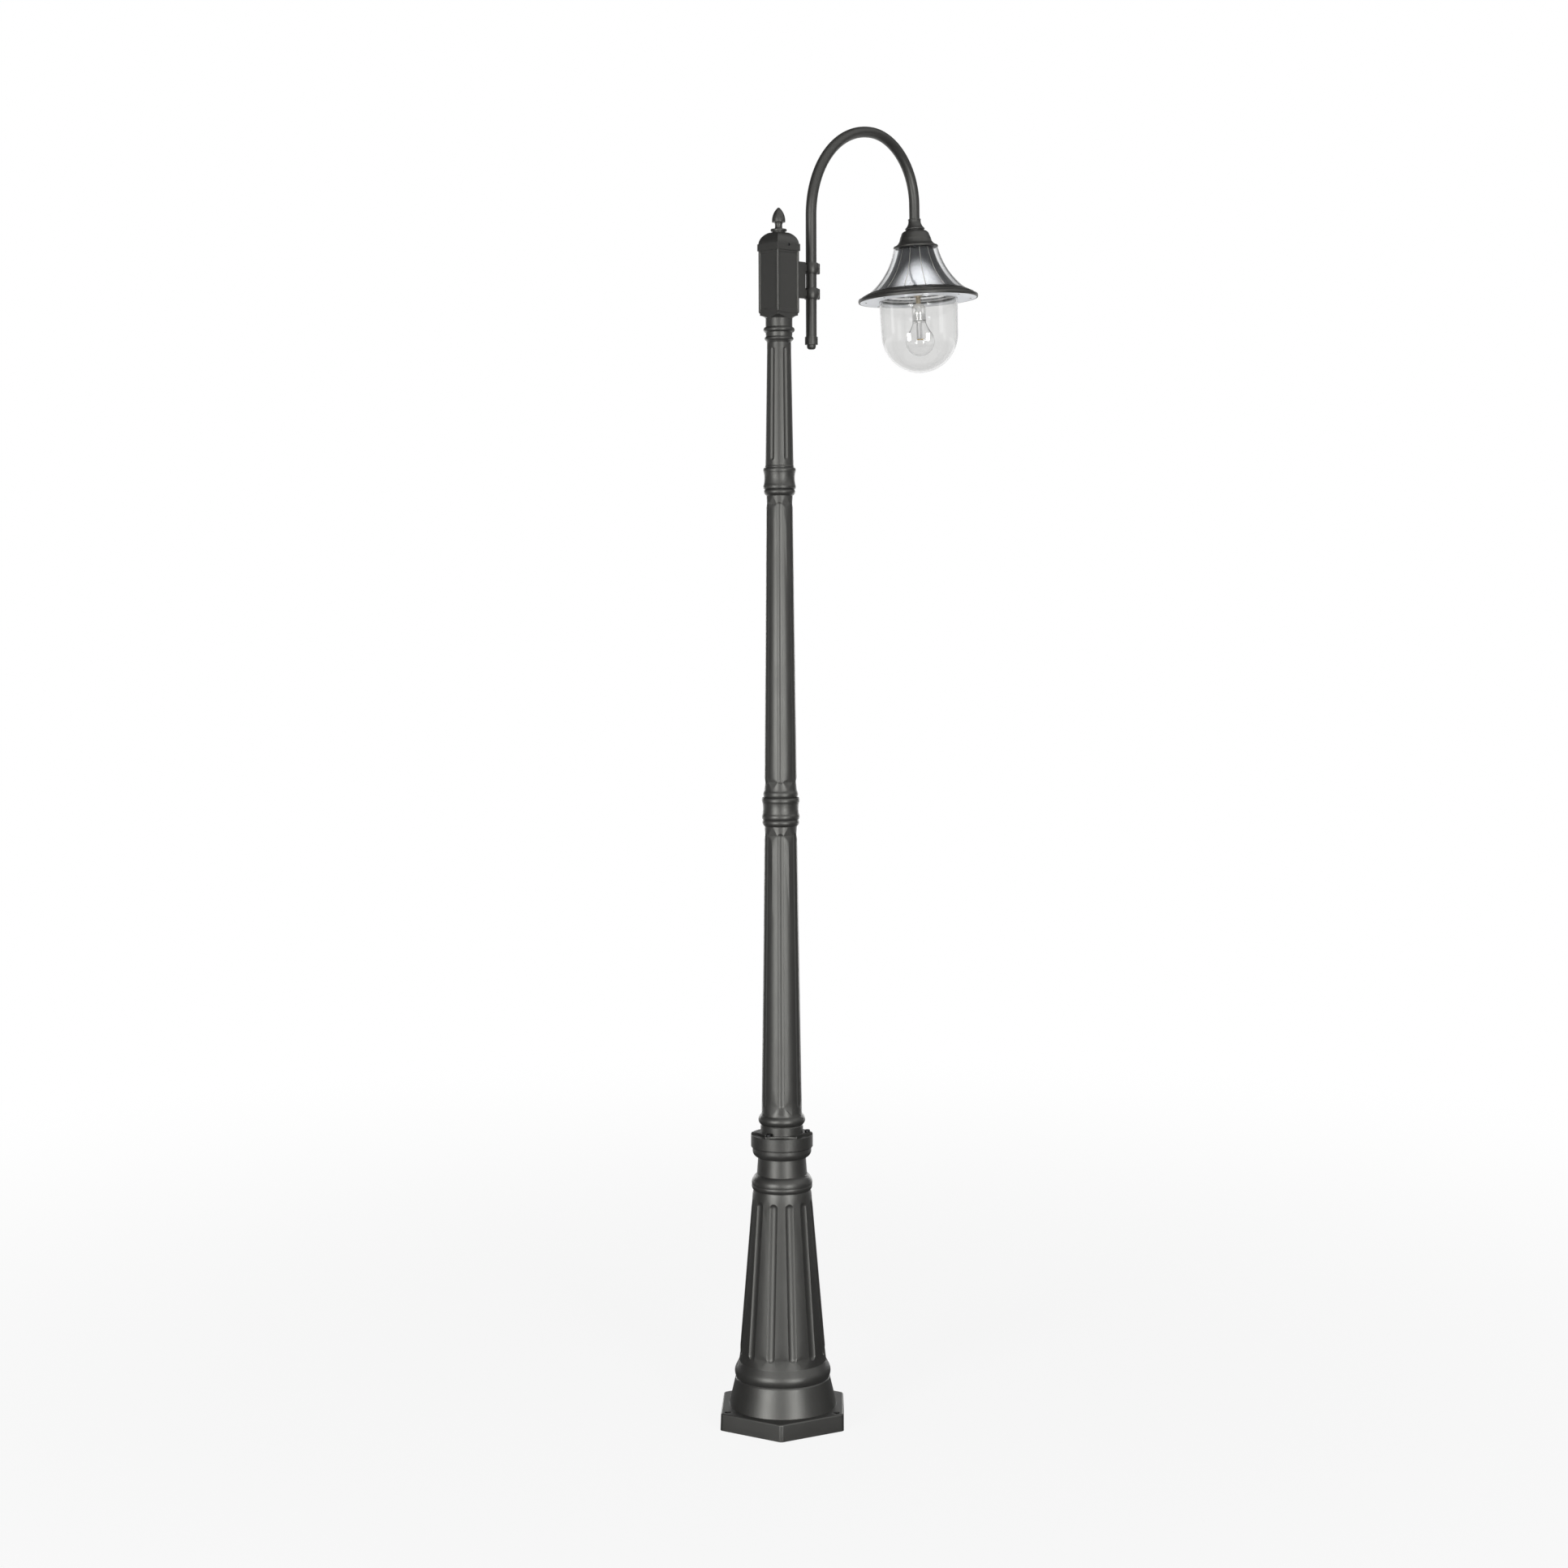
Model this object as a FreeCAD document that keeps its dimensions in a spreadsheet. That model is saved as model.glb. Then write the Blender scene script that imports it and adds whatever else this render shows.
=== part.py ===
"""Swan-neck garden lamp post: fluted cast post, square head, bracket, arched arm and solar bell lamp.

Millimetres. The origin is the centre of the foot's underside on the post's axis, +Z is up and +X is
the way the bracket leaves the head. Each piece is drawn in its own frame and then placed.
"""
import FreeCAD, Part
import math
import os
from types import SimpleNamespace

import Sketcher

os.makedirs("parts", exist_ok=True)
doc = FreeCAD.newDocument("solar_lamp_post")
sheet = doc.addObject("Spreadsheet::Sheet", "Sizes")

# Driving dimensions, piece by piece. Angles end in turn, lean, sway or draft and are in degrees.
SIZES = {
    # Fits that several pieces share
    "fit_gap": 0.3,
    "foot_turn": 46.5,
    # Base casting: hexagonal foot, flare, fluted cone, neck and bowl
    "foot_vertex_radius": 136.5,
    "foot_height": 33,
    "foot_draft": 2,
    "foot_corner_round": 9,
    "foot_edge_round": 3,
    "foot_hole_circle": 240,
    "foot_hole_radius": 6.5,
    "base_flare_radius": 104,
    "base_flare_top_radius": 91.5,
    "base_flare_climb": 53,
    "base_groove_depth": 1.6,
    "base_groove_climb": 2.5,
    "base_bead_climb": 21,
    "base_bead_rise": 2.8,
    "base_shoulder_climb": 11,
    "base_cone_foot_radius": 84.2,
    "base_cone_top_radius": 56.8,
    "base_cone_climb": 326,
    "base_cap_cove_climb": 8,
    "base_cap_foot_radius": 55.2,
    "base_cap_radius": 57.9,
    "base_cap_lower_climb": 10,
    "base_cap_lower_rise": 1.5,
    "base_cap_upper_climb": 20,
    "base_cap_upper_rise": 3.8,
    "base_neck_foot_radius": 48.4,
    "base_neck_top_radius": 46,
    "base_neck_climb": 33,
    "base_bowl_radius": 56.5,
    "base_bowl_climb": 14,
    "base_bowl_rise": 3.4,
    "base_rim_climb": 5,
    "base_wall": 7,
    "base_bore_radius": 39.5,
    "base_flute_count": 12,
    "base_flute_width": 17.5,
    "base_flute_depth": 2.8,
    "base_flute_bottom_gap": 15,
    "base_flute_top_gap": 9,
    # Lower shaft with its bolted flange
    "flange_radius": 59.5,
    "flange_band_height": 25,
    "flange_plate_height": 3.5,
    "flange_side_hollow": 8,
    "flange_corner_inset": 1.2,
    "flange_edge_round": 2,
    "flange_screw_circle": 98,
    "flange_screw_radius": 2.5,
    "flange_screw_depth": 8,
    "flange_head_radius": 5,
    "flange_head_height": 4.6,
    "flange_spigot_depth": 12,
    "shaft_wall": 5,
    "lower_foot_radius": 40.8,
    "lower_foot_climb": 14,
    "lower_groove_depth": 1,
    "lower_groove_climb": 2,
    "lower_bead_climb": 19,
    "lower_bead_rise": 5.2,
    "lower_cove_climb": 4,
    "lower_shaft_foot_radius": 38.6,
    "lower_shaft_top_radius": 31,
    "lower_shaft_climb": 552,
    "lower_top_lip": 1.6,
    "lower_top_bead_climb": 12,
    "lower_top_bead_rise": 2.4,
    "lower_flute_width": 14,
    "lower_flute_depth": 2.2,
    "shaft_flute_count": 6,
    "shaft_flute_gap": 12,
    # Sleeve ring and spigot between the two shafts
    "mid_spigot_radius": 24,
    "mid_spigot_engage": 55,
    "spigot_wall": 4,
    "mid_sleeve_radius": 34.8,
    "mid_sleeve_bead_climb": 10,
    "mid_sleeve_bead_rise": 1.2,
    "mid_sleeve_waist_climb": 21,
    "mid_sleeve_waist_hollow": 0.9,
    # Upper shaft
    "upper_bead_radius": 31.4,
    "upper_bead_climb": 13,
    "upper_bead_rise": 1.9,
    "upper_shaft_foot_radius": 30.9,
    "upper_shaft_top_radius": 24.8,
    "upper_shaft_climb": 556,
    "upper_top_lip": 2,
    "upper_top_bead_climb": 11,
    "upper_top_bead_rise": 2.8,
    "upper_flute_width": 13,
    "upper_flute_depth": 2,
    # Sleeve ring and spigot under the neck section
    "neck_spigot_radius": 17,
    "neck_spigot_engage": 50,
    "upper_sleeve_radius": 29.9,
    "upper_sleeve_bead_climb": 8,
    "upper_sleeve_bead_rise": 0.9,
    "upper_sleeve_waist_climb": 23,
    "upper_sleeve_waist_hollow": 1.3,
    # Neck section with its two rings
    "neck_foot_radius": 26.6,
    "neck_line_climb": 5,
    "neck_line_rise": 0.8,
    "neck_top_radius": 22.6,
    "neck_cone_climb": 229,
    "neck_ring_radius": 24.6,
    "neck_cove_climb": 4,
    "neck_ring_climb": 7,
    "neck_ring_rise": 2.6,
    "neck_gap_climb": 8,
    "neck_upper_ring_climb": 10,
    "neck_upper_ring_rise": 4.2,
    "neck_collar_radius": 25.2,
    "neck_collar_climb": 16,
    "neck_flute_width": 9.5,
    "neck_flute_depth": 1.6,
    "neck_flute_gap": 9,
    "head_spigot_radius": 16,
    "head_spigot_height": 20,
    # Head casing
    "casing_width": 53,
    "casing_height": 137,
    "casing_wall": 4,
    "casing_floor": 12,
    "casing_foot_height": 9.8,
    "casing_foot_inset": 1.2,
    "casing_ogee_climb": 5.2,
    "casing_ogee_hollow": 1.9,
    "panel_border": 4.2,
    "panel_depth": 1,
    "panel_bottom": 17,
    "panel_height": 104,
    "corner_bead_radius": 2,
    "corner_bead_bottom": 10,
    "corner_bead_reach": 2.7,
    # Cap with its grub screws and finial
    "cap_skirt_thickness": 1.7,
    "cap_skirt_height": 13,
    "cap_lap": 12,
    "cap_dome_inset": 1.5,
    "cap_dome_climb": 21,
    "cap_dome_top_half": 13.4,
    "cap_dome_rise": 3.4,
    "cap_screw_drop": 3.2,
    "cap_screw_radius": 1.6,
    "cap_screw_length": 4.5,
    "cap_head_radius": 2.7,
    "cap_head_height": 1.3,
    "finial_stud_radius": 4,
    "finial_stud_length": 10,
    "finial_foot_radius": 12.2,
    "finial_foot_climb": 2.5,
    "finial_flange_radius": 14.6,
    "finial_flange_climb": 4,
    "finial_flange_rise": 0.8,
    "finial_flare_radius": 8.8,
    "finial_neck_radius": 6.9,
    "finial_neck_climb": 5,
    "finial_neck_hollow": 0.6,
    "finial_acorn_radius": 12.6,
    "finial_acorn_seat_climb": 8,
    "finial_acorn_seat_hollow": 0.8,
    "finial_skirt_climb": 1.6,
    "finial_acorn_climb": 24,
    "finial_acorn_rise": 2.7,
    "finial_tip_radius": 2.8,
    # Bracket with two clamp rings
    "bracket_centre_height": 76,
    "bracket_height": 68,
    "bracket_flange_width": 34,
    "bracket_flange_thickness": 4,
    "bracket_web_thickness": 6,
    "bracket_web_reach": 40,
    "bracket_screw_inset": 7,
    "bracket_screw_radius": 2,
    "bracket_head_radius": 3.6,
    "bracket_head_height": 2.4,
    "arm_offset": 82.8,
    "ring_height": 20.5,
    "ring_wall": 2.2,
    "ring_bulge": 2.3,
    "ring_arm_half_height": 6,
    "ring_boss_reach": 18,
    "ring_boss_width": 10,
    "ring_boss_round": 2.5,
    "clamp_screw_radius": 3,
    # Swan-neck arm and its end plug
    "arm_turn": 5,
    "arm_tube_radius": 10.3,
    "arm_tube_wall": 2.5,
    "arm_tail_drop": 71,
    "arm_leg_length": 227.7,
    "arm_rise_radius": 177,
    "arm_fall_radius": 127.6,
    "arm_drop_length": 28,
    "arm_socket_depth": 15,
    "lamp_lean": 1.6,
    "lamp_sway": 2.3,
    "plug_ring_radius": 12.3,
    "plug_ring_height": 14.5,
    "plug_nose_radius": 8.5,
    "plug_nose_height": 9,
    "plug_nose_round": 5,
    "plug_spigot_height": 15,
    # Lamp coupler and crown
    "coupler_gap": 0.6,
    "coupler_lip_radius": 18.2,
    "coupler_lip_climb": 4,
    "coupler_lip_rise": 1.2,
    "coupler_flare_climb": 14,
    "coupler_flare_hollow": 1.6,
    "coupler_wall": 1.4,
    "coupler_neck_climb": 0.8,
    "coupler_bead_climb": 2.6,
    "coupler_bead_rise": 0.5,
    "coupler_screw_drop": 10,
    "coupler_screw_radius": 2,
    "coupler_screw_length": 2.2,
    "crown_neck_radius": 15.7,
    "crown_neck_climb": 2,
    "crown_shoulder_radius": 28,
    "crown_shoulder_climb": 7.5,
    "crown_shoulder_rise": 3,
    "crown_body_climb": 7.5,
    "crown_flare_top_radius": 31,
    "crown_flare_climb": 14.5,
    "crown_flare_hollow": 3,
    "crown_rim_radius": 43.6,
    "crown_rim_climb": 4,
    "crown_rim_rise": 0.8,
    "crown_wall": 3,
    "crown_eave_inset": 4.8,
    # Tie tube that clamps the lamp together
    "tie_radius": 5,
    "tie_bore_radius": 3.2,
    "tie_nut_width": 14,
    "tie_nut_height": 5,
    # Bell: clear cover, strips and carrier share one sweep
    "bell_height": 86,
    "bell_sweep_radius": 144,
    "bell_sweep_offset": 184.9,
    "bell_sweep_lift": 29.4,
    "cover_wall": 3,
    "cover_air_gap": 6.5,
    "strip_thickness": 1.2,
    "strip_count": 12,
    "strip_seam_turn": 1.5,
    "strip_turn": 22,
    "strip_margin": 3,
    "carrier_wall": 1.8,
    # Rim ring and underside plate
    "rim_ledge_inner_radius": 83,
    "rim_ledge_outer_radius": 99.6,
    "rim_shelf_radius": 76.5,
    "rim_shelf_thickness": 2.2,
    "rim_step_radius": 111.5,
    "rim_step_drop": 6,
    "rim_step_height": 1.5,
    "rim_radius": 118.2,
    "rim_slope_drop": 2.5,
    "rim_edge_height": 6.5,
    "rim_edge_bulge": 0.9,
    "rim_lip_width": 2.2,
    "plate_thickness": 2,
    "plate_screw_circle": 208,
    "plate_screw_count": 8,
    "plate_screw_radius": 1.3,
    "plate_screw_length": 6,
    "plate_head_radius": 2.3,
    "plate_head_height": 1,
    # Glass dome with its lip and gasket
    "glass_radius": 78,
    "glass_taper": 2,
    "glass_wall": 3,
    "glass_lip_height": 3,
    "glass_lip_radius": 82.6,
    "glass_straight": 68.5,
    "gasket_height": 2,
    # Reflector and gear tray
    "reflector_wall": 1.5,
    "reflector_dish_radius": 60,
    "reflector_dish_climb": 5,
    "tray_thickness": 2,
    # Battery pack and charge board
    "cell_radius": 9.25,
    "cell_height": 67,
    "cell_offset": 22,
    "board_width": 34,
    "board_height": 40,
    "board_thickness": 1.6,
    "board_offset": 17,
    "chip_width": 9,
    "chip_thickness": 2.4,
    # Lampholder and bulb
    "holder_drop": 7,
    "holder_dome_radius": 13.4,
    "holder_dome_height": 9.5,
    "holder_dome_rise": 2.2,
    "holder_thread_depth": 5,
    "shell_wall": 0.7,
    "shell_height": 27,
    "cap_radius": 13,
    "cap_nib_radius": 4.3,
    "cap_top_gap": 2,
    "bulb_radius": 29,
    "bulb_shoulder_height": 37.5,
    "bulb_shoulder_rise": 1.7,
    "bulb_waist_height": 18,
    "bulb_waist_radius": 22.3,
    "bulb_waist_hollow": 0.8,
    "bulb_wall": 1,
    "stem_radius": 7.2,
    "stem_disc_height": 2,
    "stem_height": 33,
    "stem_bar_radius": 2,
    "stem_bar_inset": 0.4,
    "led_width": 2.4,
    "led_thickness": 1.2,
    "led_circle": 10,
    "led_count": 6,
}


def formula_of(term):
    """The sheet formula of a size, or a plain number as text."""
    if isinstance(term, Size):
        return term.formula
    return repr(float(term))


class Size(float):
    """A number that also carries the sheet formula it is worked out from."""

    def __new__(cls, number, formula):
        made = super().__new__(cls, number)
        made.formula = formula
        return made

    def __add__(self, other):
        return Size(float(self) + float(other), f"({self.formula} + {formula_of(other)})")

    def __radd__(self, other):
        return Size(float(other) + float(self), f"({formula_of(other)} + {self.formula})")

    def __sub__(self, other):
        return Size(float(self) - float(other), f"({self.formula} - {formula_of(other)})")

    def __rsub__(self, other):
        return Size(float(other) - float(self), f"({formula_of(other)} - {self.formula})")

    def __mul__(self, other):
        return Size(float(self) * float(other), f"({self.formula} * {formula_of(other)})")

    def __rmul__(self, other):
        return Size(float(other) * float(self), f"({formula_of(other)} * {self.formula})")

    def __truediv__(self, other):
        return Size(float(self) / float(other), f"({self.formula} / {formula_of(other)})")

    def __neg__(self):
        return Size(-float(self), f"(0 - {self.formula})")


def root(term):
    return Size(math.sqrt(term), f"sqrt({formula_of(term)})")


for row, (alias, number) in enumerate(SIZES.items(), start=1):
    sheet.set(f"A{row}", alias)
    sheet.set(f"B{row}", str(number))
    sheet.setAlias(f"B{row}", alias)
doc.recompute()
size = SimpleNamespace(**{alias: Size(number, f"Sizes.{alias}") for alias, number in SIZES.items()})

# A quarter of a circle stands this share of its radius above its chord.
QUARTER_RISE = 1 - math.sqrt(0.5)
HEX_STEP = 60
HEX_HALF = HEX_STEP / 2
THIRD = HEX_STEP * 2
# Edges on one level are told apart from lower ones by this much, in millimetres.
LEVEL_MARGIN = 0.01
# A screw head is upright for this share of its height, and flat for the other share of its radius.
HEAD_SIDE = 0.4
HEAD_FLAT = 0.6
HEAD_ROUND = 0.12
pieces = []


def new_body(label):
    """A body that becomes a piece of the lamp post under its own name."""
    body = doc.addObject("PartDesign::Body", label)
    body.Label = label
    pieces.append(body)
    return body


def origin_feature(body, role):
    return next(feature for feature in body.Origin.OriginFeatures if feature.Role == role)


def sketch_on(body, role, offset=None, swing=None):
    """An empty sketch on one of the body's own planes, lifted off it or swung about its upright."""
    sketch = body.newObject("Sketcher::SketchObject", body.Name + "_outline")
    sketch.AttachmentSupport = [(origin_feature(body, role), "")]
    sketch.MapMode = "FlatFace"
    if swing is not None:
        upright = FreeCAD.Vector(0, 1, 0)
        sketch.AttachmentOffset = FreeCAD.Placement(FreeCAD.Vector(), FreeCAD.Rotation(upright, swing))
    if offset is not None:
        sketch.AttachmentOffset = FreeCAD.Placement(FreeCAD.Vector(0, 0, float(offset)), FreeCAD.Rotation())
        sketch.setExpression("AttachmentOffset.Base.z", formula_of(offset))
    return sketch


def tie(sketch, constraint, amount):
    """Adds a constraint and ties it to the size that sets it."""
    index = sketch.addConstraint(constraint)
    if isinstance(amount, Size):
        sketch.setExpression(f"Constraints[{index}]", amount.formula)


def pin(sketch, geometry, point, x, y):
    """Holds one point of a sketch at two sizes from the sketch's origin."""
    tie(sketch, Sketcher.Constraint("DistanceX", -1, 1, geometry, point, float(x)), x)
    tie(sketch, Sketcher.Constraint("DistanceY", -1, 1, geometry, point, float(y)), y)


def bowed(start, end, rise):
    """An arc from start to end that stands rise to the right of its chord, and its radius."""
    run = end[0] - start[0]
    climb = end[1] - start[1]
    bow = rise if rise > 0 else 0 - rise
    radius = bow / 2 + (run * run + climb * climb) / (bow * 8)
    chord = math.hypot(run, climb)
    side = 1 if rise > 0 else -1
    reach = float(radius) - float(bow)
    middle_x = (float(start[0]) + float(end[0])) / 2 - side * reach * float(climb) / chord
    middle_y = (float(start[1]) + float(end[1])) / 2 + side * reach * float(run) / chord
    first, last = (start, end) if rise > 0 else (end, start)
    angles = [math.atan2(float(y) - middle_y, float(x) - middle_x) for x, y in (first[:2], last[:2])]
    circle = Part.Circle(FreeCAD.Vector(middle_x, middle_y, 0), FreeCAD.Vector(0, 0, 1), float(radius))
    return Part.ArcOfCircle(circle, angles[0], angles[1]), radius


def outline(sketch, corners):
    """Draws a closed outline through corners (x, y) or (x, y, rise).

    A rise makes the stretch to the next corner an arc that stands that far to the right of the chord,
    which is outward on an outline that runs anticlockwise. A negative rise hollows it.
    """
    offset = sketch.GeometryCount
    ends = []
    radii = {}
    for number, corner in enumerate(corners):
        following = corners[(number + 1) % len(corners)]
        if len(corner) == 2:
            start = FreeCAD.Vector(float(corner[0]), float(corner[1]), 0)
            end = FreeCAD.Vector(float(following[0]), float(following[1]), 0)
            sketch.addGeometry(Part.LineSegment(start, end), False)
            ends.append((1, 2))
        else:
            arc, radii[number] = bowed(corner, following, corner[2])
            sketch.addGeometry(arc, False)
            ends.append((1, 2) if corner[2] > 0 else (2, 1))
    for number in range(len(corners)):
        following = (number + 1) % len(corners)
        sketch.addConstraint(Sketcher.Constraint(
            "Coincident", offset + number, ends[number][1], offset + following, ends[following][0]))
    for number, corner in enumerate(corners):
        pin(sketch, offset + number, ends[number][0], corner[0], corner[1])
    for number, radius in radii.items():
        tie(sketch, Sketcher.Constraint("Radius", offset + number, float(radius)), radius)


def circle(sketch, x, y, radius):
    """A full circle held by its centre and radius."""
    middle = FreeCAD.Vector(float(x), float(y), 0)
    index = sketch.addGeometry(Part.Circle(middle, FreeCAD.Vector(0, 0, 1), float(radius)), False)
    pin(sketch, index, 3, x, y)
    tie(sketch, Sketcher.Constraint("Radius", index, float(radius)), radius)


def box_outline(sketch, left, bottom, right, top):
    outline(sketch, [(left, bottom), (right, bottom), (right, top), (left, top)])


def stack(first_height, steps):
    """Turns steps (radius, climb) or (radius, climb, rise) into corners above a first height."""
    height = first_height
    corners = []
    for radius, climb, *rise in steps:
        height = height + climb
        corners.append((radius, height, *rise))
    return corners


def turn(body, corners, cut=False):
    """Turns an outline of radius and height round the body's axis, as metal or as a cut."""
    sketch = sketch_on(body, "XZ_Plane")
    outline(sketch, corners)
    kind = "PartDesign::Groove" if cut else "PartDesign::Revolution"
    feature = body.newObject(kind, body.Name + "_turn")
    feature.Profile = sketch
    feature.ReferenceAxis = (sketch, ["V_Axis"])
    feature.Angle = 360
    return feature


def pad(body, sketch, length, middle=False, taper=None):
    feature = body.newObject("PartDesign::Pad", body.Name + "_pad")
    feature.Profile = sketch
    feature.Length = float(length)
    feature.setExpression("Length", formula_of(length))
    feature.Midplane = middle
    if taper is not None:
        feature.TaperAngle = float(taper)
        feature.setExpression("TaperAngle", formula_of(taper))
    return feature


def pocket(body, sketch, length=None, away=False, middle=False):
    """Cuts a sketch's outline out of the body, to a depth or right through."""
    feature = body.newObject("PartDesign::Pocket", body.Name + "_pocket")
    feature.Profile = sketch
    feature.Reversed = away
    feature.Midplane = middle
    if length is None:
        feature.Type = "ThroughAll"
    else:
        feature.Length = float(length)
        feature.setExpression("Length", formula_of(length))
    return feature


def around(body, originals, count):
    """Repeats features evenly round the body's axis."""
    pattern = body.newObject("PartDesign::PolarPattern", body.Name + "_ring")
    pattern.Originals = originals
    pattern.Axis = (origin_feature(body, "Z_Axis"), [""])
    pattern.Angle = 360
    pattern.Occurrences = int(count)
    pattern.setExpression("Occurrences", formula_of(count))
    body.Tip = pattern
    return pattern


def rounded(body, feature, edges, radius):
    """Rounds the edges of the last feature whose shape passes a test."""
    doc.recompute()
    names = [f"Edge{i}" for i, edge in enumerate(feature.Shape.Edges, start=1) if edges(edge)]
    fillet = body.newObject("PartDesign::Fillet", body.Name + "_round")
    fillet.Base = (feature, names)
    fillet.Radius = float(radius)
    fillet.setExpression("Radius", formula_of(radius))
    return fillet


def flutes(body, foot, head, count, width, depth, gaps):
    """Cuts round-ended flutes down a cone. Foot and head are the cone's corners (radius, height)."""
    cutter = (width * width / 4 + depth * depth) / (depth * 2)
    slope = (head[0] - foot[0]) / (head[1] - foot[1])
    low = foot[1] + gaps[0] + width / 2
    high = head[1] - gaps[1] - width / 2
    low_x = foot[0] + slope * (low - foot[1]) + cutter - depth
    high_x = foot[0] + slope * (high - foot[1]) + cutter - depth
    length = root((high_x - low_x) * (high_x - low_x) + (high - low) * (high - low))
    along_x = (high_x - low_x) / length * cutter
    along_z = (high - low) / length * cutter
    rise = cutter * QUARTER_RISE
    sketch = sketch_on(body, "XZ_Plane")
    outline(sketch, [
        (high_x + along_x, high + along_z),
        (low_x - along_x, low - along_z, rise),
        (low_x + along_z, low - along_x),
        (high_x + along_z, high - along_x, rise),
    ])
    groove = body.newObject("PartDesign::Groove", body.Name + "_flute")
    groove.Profile = sketch
    groove.ReferenceAxis = (sketch, ["Edge1"])
    groove.Angle = 360
    return around(body, [groove], count)


def hexagon(radius, first_turn, hollow=None):
    """The corners of a six-sided outline. A hollow bends each side in by that much."""
    corners = []
    for step in range(6):
        angle = math.radians(first_turn + HEX_STEP * step)
        corner = (radius * math.cos(angle), radius * math.sin(angle))
        corners.append(corner if hollow is None else (*corner, 0 - hollow))
    return corners


def seat(piece, height, turn_angle=0.0, x=0.0, y=0.0):
    """Stands a piece at a height on the post, turned about the vertical."""
    piece.Placement = FreeCAD.Placement(
        FreeCAD.Vector(float(x), float(y), float(height)),
        FreeCAD.Rotation(FreeCAD.Vector(0, 0, 1), float(turn_angle)))
    for axis, place in (("x", x), ("y", y), ("z", height)):
        if isinstance(place, Size):
            piece.setExpression("Placement.Base." + axis, place.formula)


def group(label, single, places):
    """A node of equal solids: copies of one drawn piece at several places."""
    doc.recompute()
    pieces.remove(single)
    together = doc.addObject("Part::Feature", label)
    together.Label = label
    together.Shape = Part.makeCompound([single.Shape.transformed(place.toMatrix()) for place in places])
    pieces.append(together)
    return together


def ring_places(count, radius, height, first_turn=0.0):
    """Places on a circle, each with its own X pointing outward."""
    places = []
    for step in range(int(count)):
        rotation = FreeCAD.Rotation(FreeCAD.Vector(0, 0, 1), first_turn + 360 * step / int(count))
        offset = rotation.multVec(FreeCAD.Vector(float(radius), 0, float(height)))
        places.append(FreeCAD.Placement(offset, rotation))
    return places


def screw(label, head_radius, head_height, shank_radius, shank_length):
    """A round-headed screw, head up, that seats on its own origin plane."""
    body = new_body(label)
    turn(body, stack(-shank_length, [
        (0, 0),
        (shank_radius, 0),
        (shank_radius, shank_length),
        (head_radius, 0),
        (head_radius, head_height * HEAD_SIDE, head_height * HEAD_ROUND),
        (head_radius * HEAD_FLAT, head_height * (1 - HEAD_SIDE)),
        (0, 0),
    ]))
    return body


def base_casting():
    """Hexagonal foot, flared skirt, fluted cone and bowl, cast as one hollow piece."""
    s = size
    body = new_body("base_casting")
    half_pitch = 180 / float(s.base_flute_count)
    foot = sketch_on(body, "XY_Plane")
    outline(foot, hexagon(s.foot_vertex_radius, first_turn=-half_pitch))
    foot_pad = pad(body, foot, s.foot_height, taper=-s.foot_draft)
    upright = rounded(body, foot_pad, lambda e: e.Vertexes[0].Z * e.Vertexes[1].Z == 0
                      and abs(e.Vertexes[0].Z - e.Vertexes[1].Z) > 1, s.foot_corner_round)
    rounded(body, upright, lambda e: min(v.Z for v in e.Vertexes) > float(s.foot_height) - LEVEL_MARGIN,
            s.foot_edge_round)
    bead_end = s.base_flare_top_radius - s.base_groove_depth
    outer = stack(0, [
        (0, 0),
        (s.base_flare_radius, 0),
        (s.base_flare_radius, s.foot_height),
        (s.base_flare_top_radius, s.base_flare_climb),
        (bead_end, s.base_groove_climb, s.base_bead_rise),
        (bead_end, s.base_bead_climb),
        (s.base_cone_foot_radius, s.base_shoulder_climb),
        (s.base_cone_top_radius, s.base_cone_climb),
        (s.base_cap_foot_radius, s.base_cap_cove_climb, s.base_cap_lower_rise),
        (s.base_cap_radius, s.base_cap_lower_climb, s.base_cap_upper_rise),
        (s.base_neck_foot_radius, s.base_cap_upper_climb),
        (s.base_neck_top_radius, s.base_neck_climb, s.base_bowl_rise),
        (s.base_bowl_radius, s.base_bowl_climb),
        (s.base_bowl_radius, s.base_rim_climb),
        (0, 0),
    ])
    turn(body, outer)
    cone_foot = outer[6]
    cone_head = outer[7]
    neck_foot = outer[10]
    top = outer[13][1]
    turn(body, [
        (0, 0),
        (s.base_flare_radius - s.base_wall * 2, 0),
        (cone_foot[0] - s.base_wall, cone_foot[1]),
        (cone_head[0] - s.base_wall, cone_head[1]),
        (s.base_bore_radius, neck_foot[1]),
        (s.base_bore_radius, top),
        (0, top),
    ], cut=True)
    holes = sketch_on(body, "XY_Plane")
    for step in range(3):
        angle = math.radians(THIRD * step - half_pitch)
        ring = s.foot_hole_circle / 2
        circle(holes, ring * math.cos(angle), ring * math.sin(angle), s.foot_hole_radius)
    pocket(body, holes, s.foot_height * 2, middle=True)
    taps = sketch_on(body, "XY_Plane", top)
    for step in range(3):
        angle = math.radians(HEX_HALF + THIRD * step - half_pitch)
        ring = s.flange_screw_circle / 2
        circle(taps, ring * math.cos(angle), ring * math.sin(angle), s.flange_screw_radius + s.fit_gap)
    pocket(body, taps, s.flange_screw_depth + s.fit_gap)
    flutes(body, cone_foot, cone_head, s.base_flute_count, s.base_flute_width, s.base_flute_depth,
           (s.base_flute_bottom_gap, s.base_flute_top_gap))
    seat(body, 0.0, s.foot_turn + half_pitch)
    return top


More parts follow.
